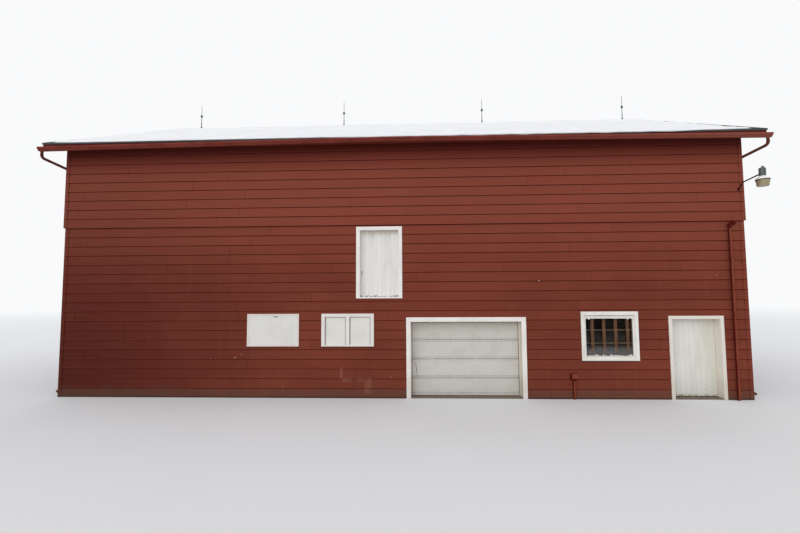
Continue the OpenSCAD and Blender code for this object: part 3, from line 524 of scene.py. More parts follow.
def sheet_metal(name, pale, dark, roughness=(0.4, 0.6), metallic=0.0, specular=0.5):
    """Painted or dull bare sheet with soft stains."""
    f = Finish(name, specular=specular, Metallic=metallic)
    stains = f.noise(1.8, (1, 1, 2.5), detail=6)
    fine = f.noise(60, detail=3)
    base = f.over(pale, dark, stains, 0.35, 0.7)
    f.colour(f.over(base, dark, fine, 0.6, 0.75, 0.0, 0.3)).rough(stains, *roughness)
    return f.bump(fine, 0.0006)


def shaded_red(name, shade_x, lit_x, lit_z, shade_z):
    """The walls' red on a fitting, with painted shade down one side past one place along X and at one end
    past one height.
    """
    f = Finish(name, specular=0.03)
    wear = f.noise(9, (1, 1, 0.4), detail=6)
    base = f.over((0.245, 0.062, 0.036), (0.19, 0.042, 0.026), wear, 0.35, 0.7)
    side = f.ramp(f.axis("X"), lit_x, shade_x)
    end = f.ramp(f.axis("Z"), lit_z, shade_z)
    # Painted shade down the fitting's left side and at its end
    dark = f.times(f.sum("MAXIMUM", side, end), 0.92)
    return f.colour(f.mix(dark, base, (0.064, 0.003, 0.003))).rough(wear, 0.6, 0.8)


def shingle_grit(name):
    """Mineral-faced shingles, each tab in a tone of its own."""
    f = Finish(name, specular=0.3)
    grit = f.noise(420, detail=2)
    stain = f.noise(0.8)
    base = f.over((0.05, 0.052, 0.056), (0.105, 0.104, 0.104), f.tone(), 0.0, 1.0)
    base = f.over(base, (0.2, 0.2, 0.2), grit, 0.35, 0.7, 0.0, 0.45)
    base = f.over(base, (0.04, 0.043, 0.04), stain, 0.5, 0.75, 0.0, 0.4)
    return f.colour(base).rough(grit, 0.8, 0.95).bump(grit, 0.002)


def snow_finish(name):
    """Old snow, softly uneven, with fine crystals."""
    f = Finish(name, 0.75, Subsurface_Weight=0.15, Subsurface_Scale=0.02)
    drift = f.noise(1.4, detail=6)
    crystals = f.noise(160, detail=3)
    f.colour(f.over((0.86, 0.865, 0.885), (0.8, 0.81, 0.84), drift, 0.35, 0.7))
    return f.bump(f.sum("ADD", drift, f.ramp(crystals, 0.3, 0.7, 0.0, 0.25)), 0.01, 0.5)


def window_pane(name, foot, top):
    """Clear glass with a thin film of dust, patchy frost over its lowest row and a rim of rime."""
    f = Finish(name, IOR=1.09)
    dust = f.noise(5, detail=6)
    speckle = f.noise(24, detail=8, roughness=0.85)
    ice = f.times(f.ramp(f.axis("Z"), top, foot), f.ramp(speckle, 0.44, 0.6))
    clear = f.over((0.88, 0.89, 0.89), (0.66, 0.65, 0.61), dust, 0.45, 0.8, 0.0, 0.5)
    rime = f.uneven(f.axis("Z"), f.noise(9, detail=6), 0.03)
    rim = f.ramp(rime, foot + 0.022, foot + 0.004)
    f.colour(f.mix(rim, f.mix(ice, clear, (0.2, 0.185, 0.175)), (0.62, 0.6, 0.57)))
    f.put(f.sum("SUBTRACT", 1.0, f.sum("MAXIMUM", f.times(ice, 0.42), rim)),
          f.shader.inputs["Transmission Weight"])
    return f.rough(dust, 0.0, 0.06).bump(f.noise(2.0, detail=2), 0.001, 0.2)


def dusty_pane(name, foot, top):
    """Panes of the wooden sash: dark above as painted shade of the unlit room behind them, whitened by dirt
    and frost in the lowest row.
    """
    f = Finish(name, specular=0.02)
    mottle = f.noise(24, detail=8, roughness=0.85)
    low = f.ramp(f.axis("Z"), top, foot)
    # Painted shade: the upper panes dark for the unlit room behind them
    dark = f.over((0.006, 0.005, 0.004), (0.016, 0.013, 0.011), f.noise(4), 0.4, 0.7)
    middle = f.ramp(f.axis("Z"), top + 0.46, top + 0.1)
    dark = f.mix(f.times(middle, f.ramp(mottle, 0.3, 0.6, 0.5, 1.0)), dark, (0.04, 0.034, 0.031))
    pale = f.over((0.02, 0.018, 0.017), (0.138, 0.129, 0.121), mottle, 0.38, 0.66)
    f.colour(f.mix(f.times(low, f.ramp(mottle, 0.2, 0.5, 0.55, 1.0)), dark, pale))
    return f.rough(mottle, 0.15, 0.5)


def concrete(name):
    """Trowelled floor, darkened by painted shade in front of and under the doors and inside, and brown with
    soil at the front doorways.
    """
    f = Finish(name, specular=0.3)
    clouds = f.noise(1.3, detail=7)
    sand = f.noise(220, detail=2)
    base = f.over((0.34, 0.32, 0.29), (0.22, 0.2, 0.18), clouds, 0.35, 0.7)
    base = f.over(base, (0.12, 0.11, 0.1), sand, 0.5, 0.8, 0.0, 0.35)
    outward = f.sum("SUBTRACT", 0.0, f.axis("Y"))
    base = f.over(base, (0.165, 0.115, 0.08), outward, LOW_Y - 0.6, LOW_Y - 0.3, 0.0, 0.85)
    # Painted shade from just in front of the doors' line inwards
    base = f.over(base, (0.04, 0.032, 0.026), outward, LOW_Y - 0.13, LOW_Y - 0.22, 0.0, 0.8)
    return f.colour(base).rough(clouds, 0.7, 0.9).bump(sand, 0.001)


def lamp_glass(name, pale, dark):
    """Ribbed, yellowed lens of the lamp."""
    f = Finish(name, 0.3, Transmission_Weight=0.15, IOR=1.49)
    film = f.noise(9, (1, 1, 0.5), detail=5)
    return f.colour(f.over(pale, dark, film, 0.35, 0.7)).bump(film, 0.002, 0.3)


def tinted_glass(name, colour):
    """Coloured glass with darker swirls."""
    f = Finish(name, 0.12, Transmission_Weight=0.35, IOR=1.5)
    swirl = f.noise(30, detail=3)
    return f.colour(f.over(colour, shade(colour, 0.6), swirl, 0.3, 0.7))


RED = barn_red("siding_paint")
RED_WALL = barn_red("wall_paint", inside=True)
RED_TRIM = barn_red("red_trim_paint")
RED_METAL = sheet_metal("red_gutter_paint", (0.16, 0.041, 0.032), (0.1, 0.024, 0.019), (0.6, 0.8),
                        specular=0.12)
# Dark red iron paint, also used for strips of painted shadow under the sills
DARK_RED = sheet_metal("dark_red_iron_and_shadow", (0.055, 0.012, 0.011), (0.035, 0.009, 0.009), (0.6, 0.8),
                       specular=0.12)
GUTTER_RED = gutter_red("gutter_paint")
# Painted shade down the left side of the mast, the box and its pipe, and at the mast's hood, the box's foot
# and the pipe's top under the box
MAST_PAINT = shaded_red("mast_paint", MAST_MID - 0.036, MAST_MID - 0.012, MAST_HI.z - 0.24, MAST_HI.z - 0.16)
BOX_PAINT = shaded_red(
    "box_paint", METER_LO.x + 0.018, METER_LO.x + 0.04, METER_FOOT + 0.035, METER_FOOT + 0.015)
PIPE_PAINT = shaded_red(
    "box_pipe_paint", METER_LO.x + 0.068, METER_LO.x + 0.086, METER_FOOT - 0.035, METER_FOOT)

WHITE = pale_paint("white_trim_paint", (0.88, 0.848, 0.815), (0.78, 0.74, 0.7), (0.46, 0.4, 0.33), 0.3)
LOW_TRIM = pale_paint("low_window_paint", (0.82, 0.775, 0.745), (0.73, 0.69, 0.65), (0.42, 0.37, 0.31), 0.3)
BOARD_TRIM = pale_paint("board_edge_paint", (0.785, 0.695, 0.655), (0.71, 0.63, 0.59), (0.42, 0.37, 0.31))
DOOR_TRIM = pale_paint("door_trim_paint", (0.8, 0.745, 0.675), (0.72, 0.67, 0.6), (0.42, 0.36, 0.28), 0.3)
WHITE_LEVEL = pale_paint(
    "white_board_paint", (0.76, 0.752, 0.735), (0.7, 0.687, 0.665), (0.42, 0.39, 0.33), grain_along="X")
CREAM = pale_paint("cream_trim_paint", (0.85, 0.835, 0.785), (0.75, 0.73, 0.67), (0.42, 0.37, 0.28))
REVEAL = pale_paint("reveal_paint", (0.74, 0.69, 0.6), (0.64, 0.585, 0.5), (0.4, 0.34, 0.26))
PANEL = pale_paint("panel_paint", (0.785, 0.772, 0.73), (0.71, 0.69, 0.65), (0.42, 0.39, 0.33))
GARAGE = pale_paint(
    "garage_door_paint", (0.63, 0.622, 0.575), (0.57, 0.555, 0.5), (0.44, 0.41, 0.34), 0.12, "X", head=2.13)
HAY_PAINT = peeling_paint("hay_door_paint", (0.83, 0.82, 0.8), (0.2, 0.15, 0.11), HAY_LO.z, 0.13)
DOOR_PAINT = peeling_paint(
    "side_door_paint", (0.805, 0.793, 0.745), (0.4, 0.33, 0.24), LEAF_LO.z, 0.16,
    stain=(LEAF_HI.x - 0.75, LEAF_HI.x))

ROD_METAL = sheet_metal("rod_steel", (0.085, 0.095, 0.105), (0.045, 0.05, 0.055), (0.5, 0.7), specular=0.2)
GREY_METAL = sheet_metal("galvanised_steel", (0.3, 0.31, 0.31), (0.17, 0.18, 0.18), metallic=0.7)
LAMP_CASE = sheet_metal("lamp_case_grey", (0.115, 0.135, 0.13), (0.06, 0.07, 0.068), metallic=0.3)
IRON = sheet_metal("black_iron", (0.035, 0.032, 0.03), (0.018, 0.014, 0.012), (0.5, 0.7))
# Dirt, also used as painted shade over the garage door's panels and beside its stop
SEAM = sheet_metal("dirt_and_shade_in_seams", (0.19, 0.165, 0.13), (0.11, 0.095, 0.075), (0.8, 0.9), specular=0.1)
# Dirt, also used as painted shade in the sash-head seam and at the slider panels' edges
PLANK_SEAM = sheet_metal(
    "dirt_and_shade_between_planks", (0.46, 0.43, 0.37), (0.25, 0.23, 0.19), (0.8, 0.9), specular=0.1)
SHINGLE = shingle_grit("shingle_grit")
SNOW = snow_finish("snow")
GLASS = window_pane("storm_glass", FROST_FOOT, FROST_TOP)
CONCRETE = concrete("floor_concrete")
TIMBER_X, TIMBER_Y, TIMBER_Z = (
    timber(name, (0.31, 0.2, 0.12), (0.18, 0.11, 0.06), letter)
    for name, letter in (("timber_along", "X"), ("timber_across", "Y"), ("timber_upright", "Z")))
BAR_WOOD = timber("stained_bars", (0.225, 0.1, 0.044), (0.12, 0.052, 0.025), "Z")
PALE_WOOD = timber("glazing_bar_wood", (0.38, 0.25, 0.15), (0.27, 0.17, 0.1), "X")

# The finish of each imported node
CAD_FINISH = (
    (RED_WALL, "front_wall_left front_wall_over_garage front_wall_middle front_wall_over_door"),
    (RED_WALL, "front_wall_right front_wall_upper rear_wall_lower rear_wall_upper"),
    (RED_WALL, "left_gable_lower left_gable_upper right_gable_lower right_gable_upper"),
    (RED_TRIM, "corner_boards eave_boards rake_boards"),
    (REVEAL, "garage_frame"),
    (DOOR_TRIM, "side_door_frame"),
    (WHITE, "hay_door_frame"),
    (CREAM, "glazed_window_frame"),
    (LOW_TRIM, "slider_window_frame"),
    (WHITE_LEVEL, "boarded_window"),
    (PANEL, "slider_window_panels"),
    (GARAGE, "garage_door"),
    (HAY_PAINT, "hay_door"),
    (DOOR_PAINT, "side_door"),
    (GLASS, "glazed_window_glass"),
    (BAR_WOOD, "inner_sash"),
    (CONCRETE, "ground_floor"),
    (floor_boards("loft_boards"), "loft_floor"),
    (TIMBER_X, "loft_girders loft_ledgers purlins wall_plates ridge_board"),
    (TIMBER_Y, "loft_joists purlin_ties rafters"),
    (TIMBER_Z, "loft_posts purlin_posts knee_braces"),
    (SHINGLE, "roof_front roof_rear ridge_cap"),
    (GUTTER_RED, "front_gutter rear_gutter"),
    (RED_METAL, "downspouts"),
    (PIPE_PAINT, "wall_box"),
    (MAST_PAINT, "service_mast"),
    (ROD_METAL, "lightning_rods"),
    (GREY_METAL, "garage_tracks yard_light"),
    (IRON, "side_door_pintles"),
)


def finish_nodes():
    """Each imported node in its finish."""
    for finish, names in CAD_FINISH:
        for name in names.split():
            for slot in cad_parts[name].material_slots:
                slot.material = finish.material


# Walls as maps from (along, out, height) to a point
def front_wall(face):
    return lambda u, out, z: (u, -face - out, z)


def rear_wall(face):
    return lambda u, out, z: (u, face + out, z)


def end_wall(side, face):
    return lambda u, out, z: (side * (face + out), u, z)


def spans(start, end, holes, low, high):
    """Stretches along a wall that the holes leave free between two heights."""
    free = [(start, end)]
    for left, bottom, right, top in holes:
        if bottom < high - 1e-6 and top > low + 1e-6:
            free = [
                part for a, b in free
                for part in ((a, min(b, left)), (max(a, right), b)) if part[1] - part[0] > 0.01
            ]
    return free


def lap_siding(shape, wall, half, bottom, top, holes, rng, limit=None, joints=()):
    """Tapered boards laid level up a wall, with butt joints over studs or where joints names one."""
    course = 0
    while bottom + course * EXPOSURE < top - 0.01:
        low = bottom + course * EXPOSURE
        high = min(low + EXPOSURE, top)
        shift = rng.randrange(BOARD_STUDS) * STUD - rng.random() * 0.03
        if course in joints:
            shift = (joints[course] + half) % BOARD_LENGTH
        ends = [-half - BOARD_LENGTH + shift + i * BOARD_LENGTH for i in range(COURSE_BOARDS)]
        offsets = [rng.random() * 0.0015 for _ in ends]
        tones = [rng.random() for _ in ends]
        levels = {low, high}
        levels |= {z for hole in holes for z in (hole[1], hole[3]) if low < z < high}
        levels |= {z for z in (GABLE_PEAK - half * SLOPE,) if limit and low < z < high}
        levels = sorted(levels)
        for z0, z1 in zip(levels, levels[1:]):
            for i, start in enumerate(ends):
                left = max(start + JOINT / 2, -half)
                right = min(start + BOARD_LENGTH - JOINT / 2, half)
                for a, b in spans(left, right, holes, z0, z1):
                    board(shape, wall, (a, b), (z0, z1), low, offsets[i], tones[i], limit)
        course += 1


def board(shape, wall, ends, heights, low, offset, tone, limit):
    """The part of one board between two heights, cut at its ends to the wall's outline."""
    rows = []
    for z in heights:
        reach = limit(z) if limit else math.inf
        a, b = max(ends[0], -reach), min(ends[1], reach)
        rows.append((a, max(a, b), z, BUTT + offset - (BUTT - FEATHER) * (z - low) / EXPOSURE))
    (a0, b0, z0, t0), (a1, b1, z1, t1) = rows
    if b0 - a0 < 0.01:
        return
    left = [wall(a0, 0, z0), wall(a0, t0, z0), wall(a1, t1, z1), wall(a1, 0, z1)]
    right = [wall(b0, 0, z0), wall(b0, t0, z0), wall(b1, t1, z1), wall(b1, 0, z1)]
    shape.prism(left, right, tone)


def outline_of(node):
    """A casing's outer edges on the front wall as (left, bottom, right, top)."""
    lo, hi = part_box(node)
    return (lo.x, lo.z, hi.x, hi.z)


def dress_walls():
    rng = random.Random(11)
    fronts = ["garage_frame", "side_door_frame", "hay_door_frame", "glazed_window_frame",
              "slider_window_frame", "boarded_window"]
    holes = [outline_of(node) for node in fronts]
    low_half, up_half = LOW_X - CORNER_COVER, UP_X - CORNER_COVER
    low_end, up_end = LOW_Y - CORNER_COVER, UP_Y - CORNER_COVER

    shape = Shape()
    lap_siding(shape, front_wall(LOW_Y), low_half, 0.0, BELT, holes, rng, joints=LOW_JOINTS)
    lap_siding(shape, front_wall(UP_Y), up_half, BELT, SOFFIT, [], rng, joints=UP_JOINTS)
    shape.piece("front_siding", RED, "red_siding")

    shape = Shape()
    lap_siding(shape, rear_wall(LOW_Y), low_half, 0.0, BELT, [], rng)
    lap_siding(shape, rear_wall(UP_Y), up_half, BELT, SOFFIT, [], rng)
    shape.piece("rear_siding", RED, "red_siding")

    for side, word in ((-1, "left"), (1, "right")):
        shape = Shape()
        lap_siding(shape, end_wall(side, LOW_X), low_end, 0.0, BELT, [], rng)
        lap_siding(shape, end_wall(side, UP_X), up_end, BELT, GABLE_PEAK, [], rng, gable_limit)
        shape.piece(word + "_gable_siding", RED, "red_siding")


def gable_limit(z):
    """Half width of the gable's siding at a height: up to the corner boards, then up to the soffit."""
    return max(0.0, min(UP_Y - CORNER_COVER, (GABLE_PEAK - z) / SLOPE))


def roof_point(side, x, down, up):
    """A point on a slope, at a distance down from the ridge and up from the roof's surface."""
    y = down * math.cos(PITCH) + up * math.sin(PITCH)
    return (x, side * y, RIDGE - down * math.sin(PITCH) + up * math.cos(PITCH))


def shingle_slope(side, name):
    rng = random.Random(5 + side)
    shape = Shape()
    faces = [(0, 1, 2, 3), (0, 4, 5, 1), (0, 3, 7, 4), (1, 5, 6, 2), (3, 2, 6, 7), (4, 7, 6, 5)]
    for row in range(math.ceil(SLOPE_LENGTH / TAB_H)):
        low = SLOPE_LENGTH + 0.008 - row * TAB_H
        high = max(low - TAB_H, 0.0)
        x = -ROOF_X - 0.004 - (row % 2) * TAB_W / 2
        while x < ROOF_X:
            left = max(x + TAB_SLOT / 2, -ROOF_X - 0.004)
            right = min(x + TAB_W - TAB_SLOT / 2, ROOF_X + 0.004)
            thick = TAB_T + rng.random() * 0.0015
            if right - left > 0.02:
                corners = ((left, low, thick), (right, low, thick),
                           (right, high, 0.001), (left, high, 0.001))
                points = [roof_point(side, *c) for c in corners]
                points += [roof_point(side, cx, down, -0.002) for cx, down, _ in corners]
                shape.add(points, faces, rng.random())
            x += TAB_W
    shape.piece(name, SHINGLE, "roof_shingles")


def ridge_shingles():
    """Caps bent over the ridge, each lapping the next."""
    rng = random.Random(3)
    shape = Shape()
    wing, lap, lift = 0.155, 0.15, 0.013
    count = math.floor(2 * ROOF_X / lap)
    for i in range(count):
        x0 = -ROOF_X + i * lap
        x1 = x0 + lap
        ends = []
        for x, t in ((x0, 0.009), (x1, 0.003)):
            top = [roof_point(s, x, wing, lift + t) for s in (-1, 1)]
            low = [roof_point(s, x, wing, lift - 0.001) for s in (-1, 1)]
            peak = RIDGE + (lift + t) / math.cos(PITCH)
            foot = RIDGE + (lift - 0.001) / math.cos(PITCH)
            ends.append([top[0], (x, 0, peak), top[1], low[1], (x, 0, foot), low[0]])
        shape.prism(ends[0], ends[1], rng.random())
    shape.piece("ridge_shingles", SHINGLE, "roof_shingles")


def snow_depth(side, x, down):
    """Depth of snow over the shingles, less than zero where it has gone."""
    share = down / SLOPE_LENGTH
    drift = noise.noise(Vector((x * 0.35, down * 0.6, side * 5.0)))
    ripple = noise.noise(Vector((x * 2.1, down * 1.1, side * 9.0)))
    ragged = noise.noise(Vector((x * 1.3, down * 3.2, side * 3.0)))
    streak = noise.noise(Vector((x * 6.0, down * 0.5, side * 2.0)))
    depth = 0.034 + 0.012 * drift + 0.004 * ripple
    right = ROOF_X - x
    left = ROOF_X + x
    thin = 0.14 * min(1.0, 3.0 * share)
    for gap, bare in ((right, 1.2 * thin + 0.24 * share ** 3), (left, thin + 0.1 * share ** 2)):
        edge = gap - bare * (1.0 + 0.7 * ragged) - 0.05 * streak
        depth -= 0.06 * max(0.0, 1.0 - max(0.0, edge) / 0.16) ** 1.5
    if side > 0:
        depth -= 0.05 * max(0.0, ragged + 0.6 * drift + 0.5 * share - 0.25)
    return depth


def snow_sheet(side, name):
    """Snow as a closed sheet whose top dips under the shingles where they lie bare."""
    cell, edge = 0.085, ROOF_X - 0.01
    across = math.ceil(2 * edge / cell)
    along = math.ceil(SLOPE_LENGTH / cell)
    row = across + 1
    grid = []
    for j in range(along + 1):
        down = j * SLOPE_LENGTH / along
        for i in range(row):
            x = -edge + i * 2 * edge / across
            depth = snow_depth(side, x, down)
            if j == along:
                depth = min(depth, 0.012)
            grid.append(roof_point(side, x, down, depth))
    last = grid[along * row:]
    lip = [snow_lip(side, *spot) for spot in last]
    base = [(-edge, 0), (edge, 0), (edge, SLOPE_LENGTH), (-edge, SLOPE_LENGTH)]
    shape = Shape()
    shape.add(grid, grid_faces(row, along))
    shape.add([roof_point(side, x, down, -0.004) for x, down in base], [(0, 1, 2, 3)])
    shape.add(last + [spot[k] for k in range(3) for spot in lip], grid_faces(row, 3))
    shape.piece(name, SNOW, "roof_shingles", smooth=True)


def grid_faces(row, count):
    """Faces of count strips between rows of points, each with row points."""
    return [
        (j * row + i, j * row + i + 1, (j + 1) * row + i + 1, (j + 1) * row + i)
        for j in range(count) for i in range(row - 1)
    ]


def snow_lip(side, x, y, z):
    """Three points of the snow that hangs over the eave below a point of its edge, less towards the ends."""
    foot = roof_point(side, x, SLOPE_LENGTH, 0)[2]
    share = max(0.0, min(1.0, (z - foot + 0.004) / 0.01))
    share *= min(1.0, (ROOF_X - abs(x)) / 1.3)
    if side < 0:
        for start, run, lost in ((7.9, 0.6, 0.75), (-0.8, -1.2, 0.65)):
            share *= 1.0 - lost * max(0.0, min(1.0, (x - start) / run))
    hang = share * (0.036 + 0.016 * noise.noise(Vector((x * 2.3, side * 7.0, 0))))
    out = side * (abs(y) - 0.004 + 0.014 * min(1.0, 3.0 * share))
    return ((x, out, z - 0.006 * share), (x, out, foot - hang), (x, side * (abs(y) - 0.006), foot - hang))


def casing_face(node):
    """Where the front of the boards over a casing lies."""
    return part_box(node)[0].y - 0.002


def casing(name, node, side, head, sill, finish=WHITE):
    """Boards laid over a casing, the sides butting under the head, with eased edges."""
    left, bottom, right, top = outline_of(node)
    back, face = -LOW_Y, casing_face(node)
    gap = 0.0015
    skin = CASING_SKIN
    low = bottom + sill + gap if sill else bottom
    parts = [((left - skin, face, top - head + gap), (right + skin, back, top + skin))]
    for a, b in ((left - skin, left + side + skin), (right - side - skin, right + skin)):
        parts.append(((a, face, low), (b, back, top - head - gap)))
    if sill:
        parts.append(((left - skin, face - 0.004, bottom - skin), (right + skin, back, bottom + sill - gap)))
    boxes(name, parts, finish, "white_trim", bevel=0.003)


def dress_openings():
    casing("garage_casing", "garage_frame", GARAGE_CASING, GARAGE_CASING, 0)
    casing("side_door_casing", "side_door_frame", 0.09, 0.09, 0, DOOR_TRIM)
    casing("hay_door_casing", "hay_door_frame", 0.104, 0.098, 0.038)
    casing("glazed_window_casing", "glazed_window_frame", WINDOW_SIDE, 0.1, 0.041, CREAM)
    casing("slider_window_casing", "slider_window_frame", 0.095, 0.09, 0.036, LOW_TRIM)
    casing("boarded_window_strips", "boarded_window", 0.05, 0.05, 0.05, BOARD_TRIM)


def upright_planks(name, lo, hi, face, count, finish, body, seed, ragged):
    """Tongued planks in front of a leaf, ragged at their feet, with open seams between them."""
    rng = random.Random(seed)
    shape = Shape()
    half_seam = 0.0018
    pitch = (hi[0] - lo[0]) / count
    for i in range(count):
        x0 = lo[0] + i * pitch + half_seam
        x1 = lo[0] + (i + 1) * pitch - half_seam
        foot = lo[1] + rng.random() * ragged
        shape.box((x0, face - PLANK_T - rng.random() * 0.001, foot), (x1, face, hi[1]), rng.random())
    shape.piece(name, finish, "cream_boards", body, bevel=0.0015)
    seams = []
    for i in range(1, count):
        x = lo[0] + i * pitch
        wide = 0.0012 + rng.random() * 0.0016
        seams.append(((x - wide, face - 0.0015, lo[1] + ragged), (x + wide, face, hi[1])))
    boxes(name + "_seams", seams, seam_dirt(name + "_dirt", lo[1], hi[1]), "cream_boards", body)


def domes(name, heads, finish, slot, body=BARN):
    """One piece of nail heads and the like on faces that look to -Y, from (x, y, z, radius, rise)."""
    shape = Shape()
    for x, y, z, radius, rise in heads:
        steps = ((radius, 0.0), (radius * 0.8, rise * 0.7), (radius * 0.3, rise))
        shape.rings([upright_ring(x, y - out, z, r, 8) for r, out in steps])
    shape.piece(name, finish, slot, body, smooth=True)


def hay_door_planks():
    lo = (HAY_LO.x + 0.002, HAY_LO.z + 0.008)
    hi = (HAY_HI.x - 0.002, HAY_HI.z - 0.004)
    upright_planks("hay_door_planks", lo, hi, HAY_LO.y, 9, HAY_PAINT, BARN, 4, 0.012)


def side_door_planks():
    """Planks on the leaf, kept inside the stops' edges so that the leaf swings free, and their nails."""
    inset, stile, count = 0.014, 0.022, 9
    lo = (LEAF_LO.x + inset, LEAF_LO.z + 0.004)
    hi = (LEAF_HI.x - stile - inset, LEAF_HI.z - inset)
    upright_planks("side_door_planks", lo, hi, LEAF_FACE, count, DOOR_PAINT, LEAF, 8, 0.008)
    pitch = (hi[0] - lo[0]) / count
    columns = [lo[0] + (i + 0.5) * pitch for i in range(count)]
    ledges, nail_rows = (0.3, 1.05, 1.8), (0.035, 0.105)
    rows = [LEAF_LO.z + ledge + z for ledge in ledges for z in nail_rows]
    nails = [(x, PLANK_FACE, z, 0.004, 0.002) for x in columns for z in rows]
    domes("side_door_nails", nails, SEAM, "dark_iron", LEAF)


def garage_panel_edges():
    """Each pressed panel of the garage door as (left, right, bottom, top)."""
    width = (2 * DOOR_HALF - PANEL_INSET) / PANELS - PANEL_INSET
    for i in range(SECTIONS):
        bottom = max(i * SECTION_H, DOOR_FOOT) + PANEL_INSET
        top = (i + 1) * SECTION_H - PANEL_INSET
        for k in range(PANELS):
            left = GARAGE_X - DOOR_HALF + PANEL_INSET + k * (width + PANEL_INSET)
            yield left, left + width, bottom, top


def garage_panels():
    """Pressed panels with sloped edges on the four sections."""
    shape = Shape()
    for left, right, bottom, top in garage_panel_edges():
        shape.rings([
            [(left - grow, DOOR_FACE - out, bottom - grow), (right + grow, DOOR_FACE - out, bottom - grow),
             (right + grow, DOOR_FACE - out, top + grow), (left - grow, DOOR_FACE - out, top + grow)]
            for grow, out in ((0.012, 0.0002), (0.002, 0.0046), (-0.016, 0.0046), (-0.022, 0.0036))
        ])
    shape.piece("garage_door_panels", GARAGE, "garage_door_paint")


def garage_dirt_and_shade():
    """Dirt in the joints, painted shade with dirt over and under the panels, painted shade in the gap beside
    the right stop, and rust at the left one.
    """
    near, back, beside = DOOR_FACE - 0.0012, DOOR_FACE + 0.001, DOOR_FACE - 0.0055
    end = DOOR_HALF - 0.05
    dirt = []
    for i in range(1, SECTIONS):
        joint = i * SECTION_H
        dirt.append(((GARAGE_X - end, near, joint - 0.004), (GARAGE_X + end, back, joint + 0.004)))
    # Painted shade with dirt along each panel's top and bottom edges
    for left, right, bottom, top in garage_panel_edges():
        dirt.append(((left, near, top + 0.013), (right, back, top + 0.021)))
        dirt.append(((left, near, bottom - 0.017), (right, back, bottom - 0.013)))
    head = SECTIONS * SECTION_H - 0.05
    # A strip of painted shade in the gap beside the right stop
    stop = GARAGE_HI.x - GARAGE_CASING - GARAGE_STOP
    dirt.append(((stop - 0.02, beside, DOOR_FOOT), (stop - 0.004, back, head)))
    boxes("garage_door_dirt_and_shade", dirt, SEAM, "garage_door_paint")
    stop = GARAGE_LO.x + GARAGE_CASING + GARAGE_STOP
    rust = ((stop + 0.002, beside, DOOR_FOOT), (stop + 0.014, back, head))
    boxes("garage_door_rust", [rust], BAR_WOOD, "garage_door_paint")


def garage_scratch():
    """A curved scrape low on the garage door's left part, from (along, height, half width) points."""
    line = ((0.602, 0.97, 0.002), (0.606, 0.88, 0.007), (0.618, 0.77, 0.008), (0.634, 0.66, 0.006),
            (0.655, 0.545, 0.002))
    near, back = DOOR_FACE - 0.0058, DOOR_FACE - 0.0044
    scratch = Shape()
    scratch.rings([
        [(x - w, near, z), (x + w, near, z), (x + w, back, z), (x - w, back, z)] for x, z, w in line
    ])
    scratch.piece("garage_door_scratch", SEAM, "garage_door_paint")


def window_bars():
    """Wooden bars, glazing bars and dirty panes behind the storm glass."""
    lo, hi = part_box("inner_sash")
    glass_lo, glass_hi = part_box("glazed_window_glass")
    count, width, pitch = 4, 0.086, 0.3225
    first = glass_lo.x + 0.22 - width / 2
    bars = []
    for i in range(count):
        x = first + i * pitch
        bars.append(((x, lo.y - 0.028, lo.z), (x + width, lo.y - 0.002, hi.z)))
    boxes("window_bars", bars, BAR_WOOD, "bare_timber", bevel=0.004)
    left, right, half = glass_lo.x - 0.02, glass_hi.x + 0.02, 0.007
    heights = (1.519, 1.883)
    level = [((left, lo.y - 0.046, z - half), (right, lo.y - 0.03, z + half)) for z in heights]
    boxes("window_glazing_bars", level, PALE_WOOD, "bare_timber", bevel=0.003)
    panes = ((lo.x + 0.02, lo.y + 0.014, lo.z + 0.04), (hi.x - 0.02, lo.y + 0.018, hi.z - 0.04))
    boxes("inner_panes", [panes], dusty_pane("inner_panes", DUST_FOOT, DUST_TOP), "window_glass")


def gutter_parts(side, name):
    """Straps over the trough, which falls from the middle to both ends."""
    lo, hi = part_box("front_gutter")
    back, lip = -hi.y, -lo.y
    trough_h, outlet_h, outlet_x = 0.108, 0.03, 10.16
    fall = (hi.z - lo.z - trough_h - outlet_h) / outlet_x
    y0, y1 = sorted((side * back, side * (lip - 0.003)))
    shape = Shape()
    count = 33
    for i in range(count):
        x = -ROOF_X + 0.3 + i * (2 * ROOF_X - 0.6) / (count - 1)
        top = hi.z - 0.003 - fall * abs(x)
        shape.box((x - 0.012, y0, top - 0.003), (x + 0.012, y1, top))
    shape.piece(name, GUTTER_RED, "red_metal", bevel=0.0008)


def lightning_rods():
    """Rods with a clamp, a stepped stem, a glass ball and a fine point, and their saddles."""
    lo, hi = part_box("lightning_rods")
    height, ball_r, ball_z = 1.08, 0.048, 0.562
    gap_left, gap_right = 6.34, 5.92
    left, right = lo.x + ball_r, hi.x - ball_r
    foot = hi.z - height - 0.004
    stem = ((0.026, 0.0), (0.026, 0.085), (0.013, 0.12), (0.012, 0.5), (0.009, 0.6), (0.008, 0.97),
            (0.002, height))
    clamp = ((0.014, 0.19), (0.024, 0.198), (0.024, 0.222), (0.014, 0.232))
    ball = [(ball_r * math.sin(a), ball_z - 0.052 * math.cos(a)) for a in turns(24)[1:12]]
    metal, balls, knots = Shape(), Shape(), Shape()
    for x in (left, left + gap_left, right - gap_right, right):
        metal.lathe((x, 0, foot), stem, 20)
        knots.lathe((x, 0, foot), clamp, 20)
        balls.lathe((x, 0, foot), ball, 24)
        for z in (0.508, 0.612):
            knots.lathe((x, 0, foot), ((0.018, z - 0.008), (0.02, z), (0.014, z + 0.008)), 20)
        saddle(metal, x, foot)
    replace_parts(metal.piece("rods", ROD_METAL, "grey_metal", smooth=True), "lightning_rods")
    knots.piece("rod_knots", IRON, "dark_iron", smooth=True)
    balls.piece("rod_balls", tinted_glass("teal_glass", (0.01, 0.1, 0.13)), "grey_metal", smooth=True)


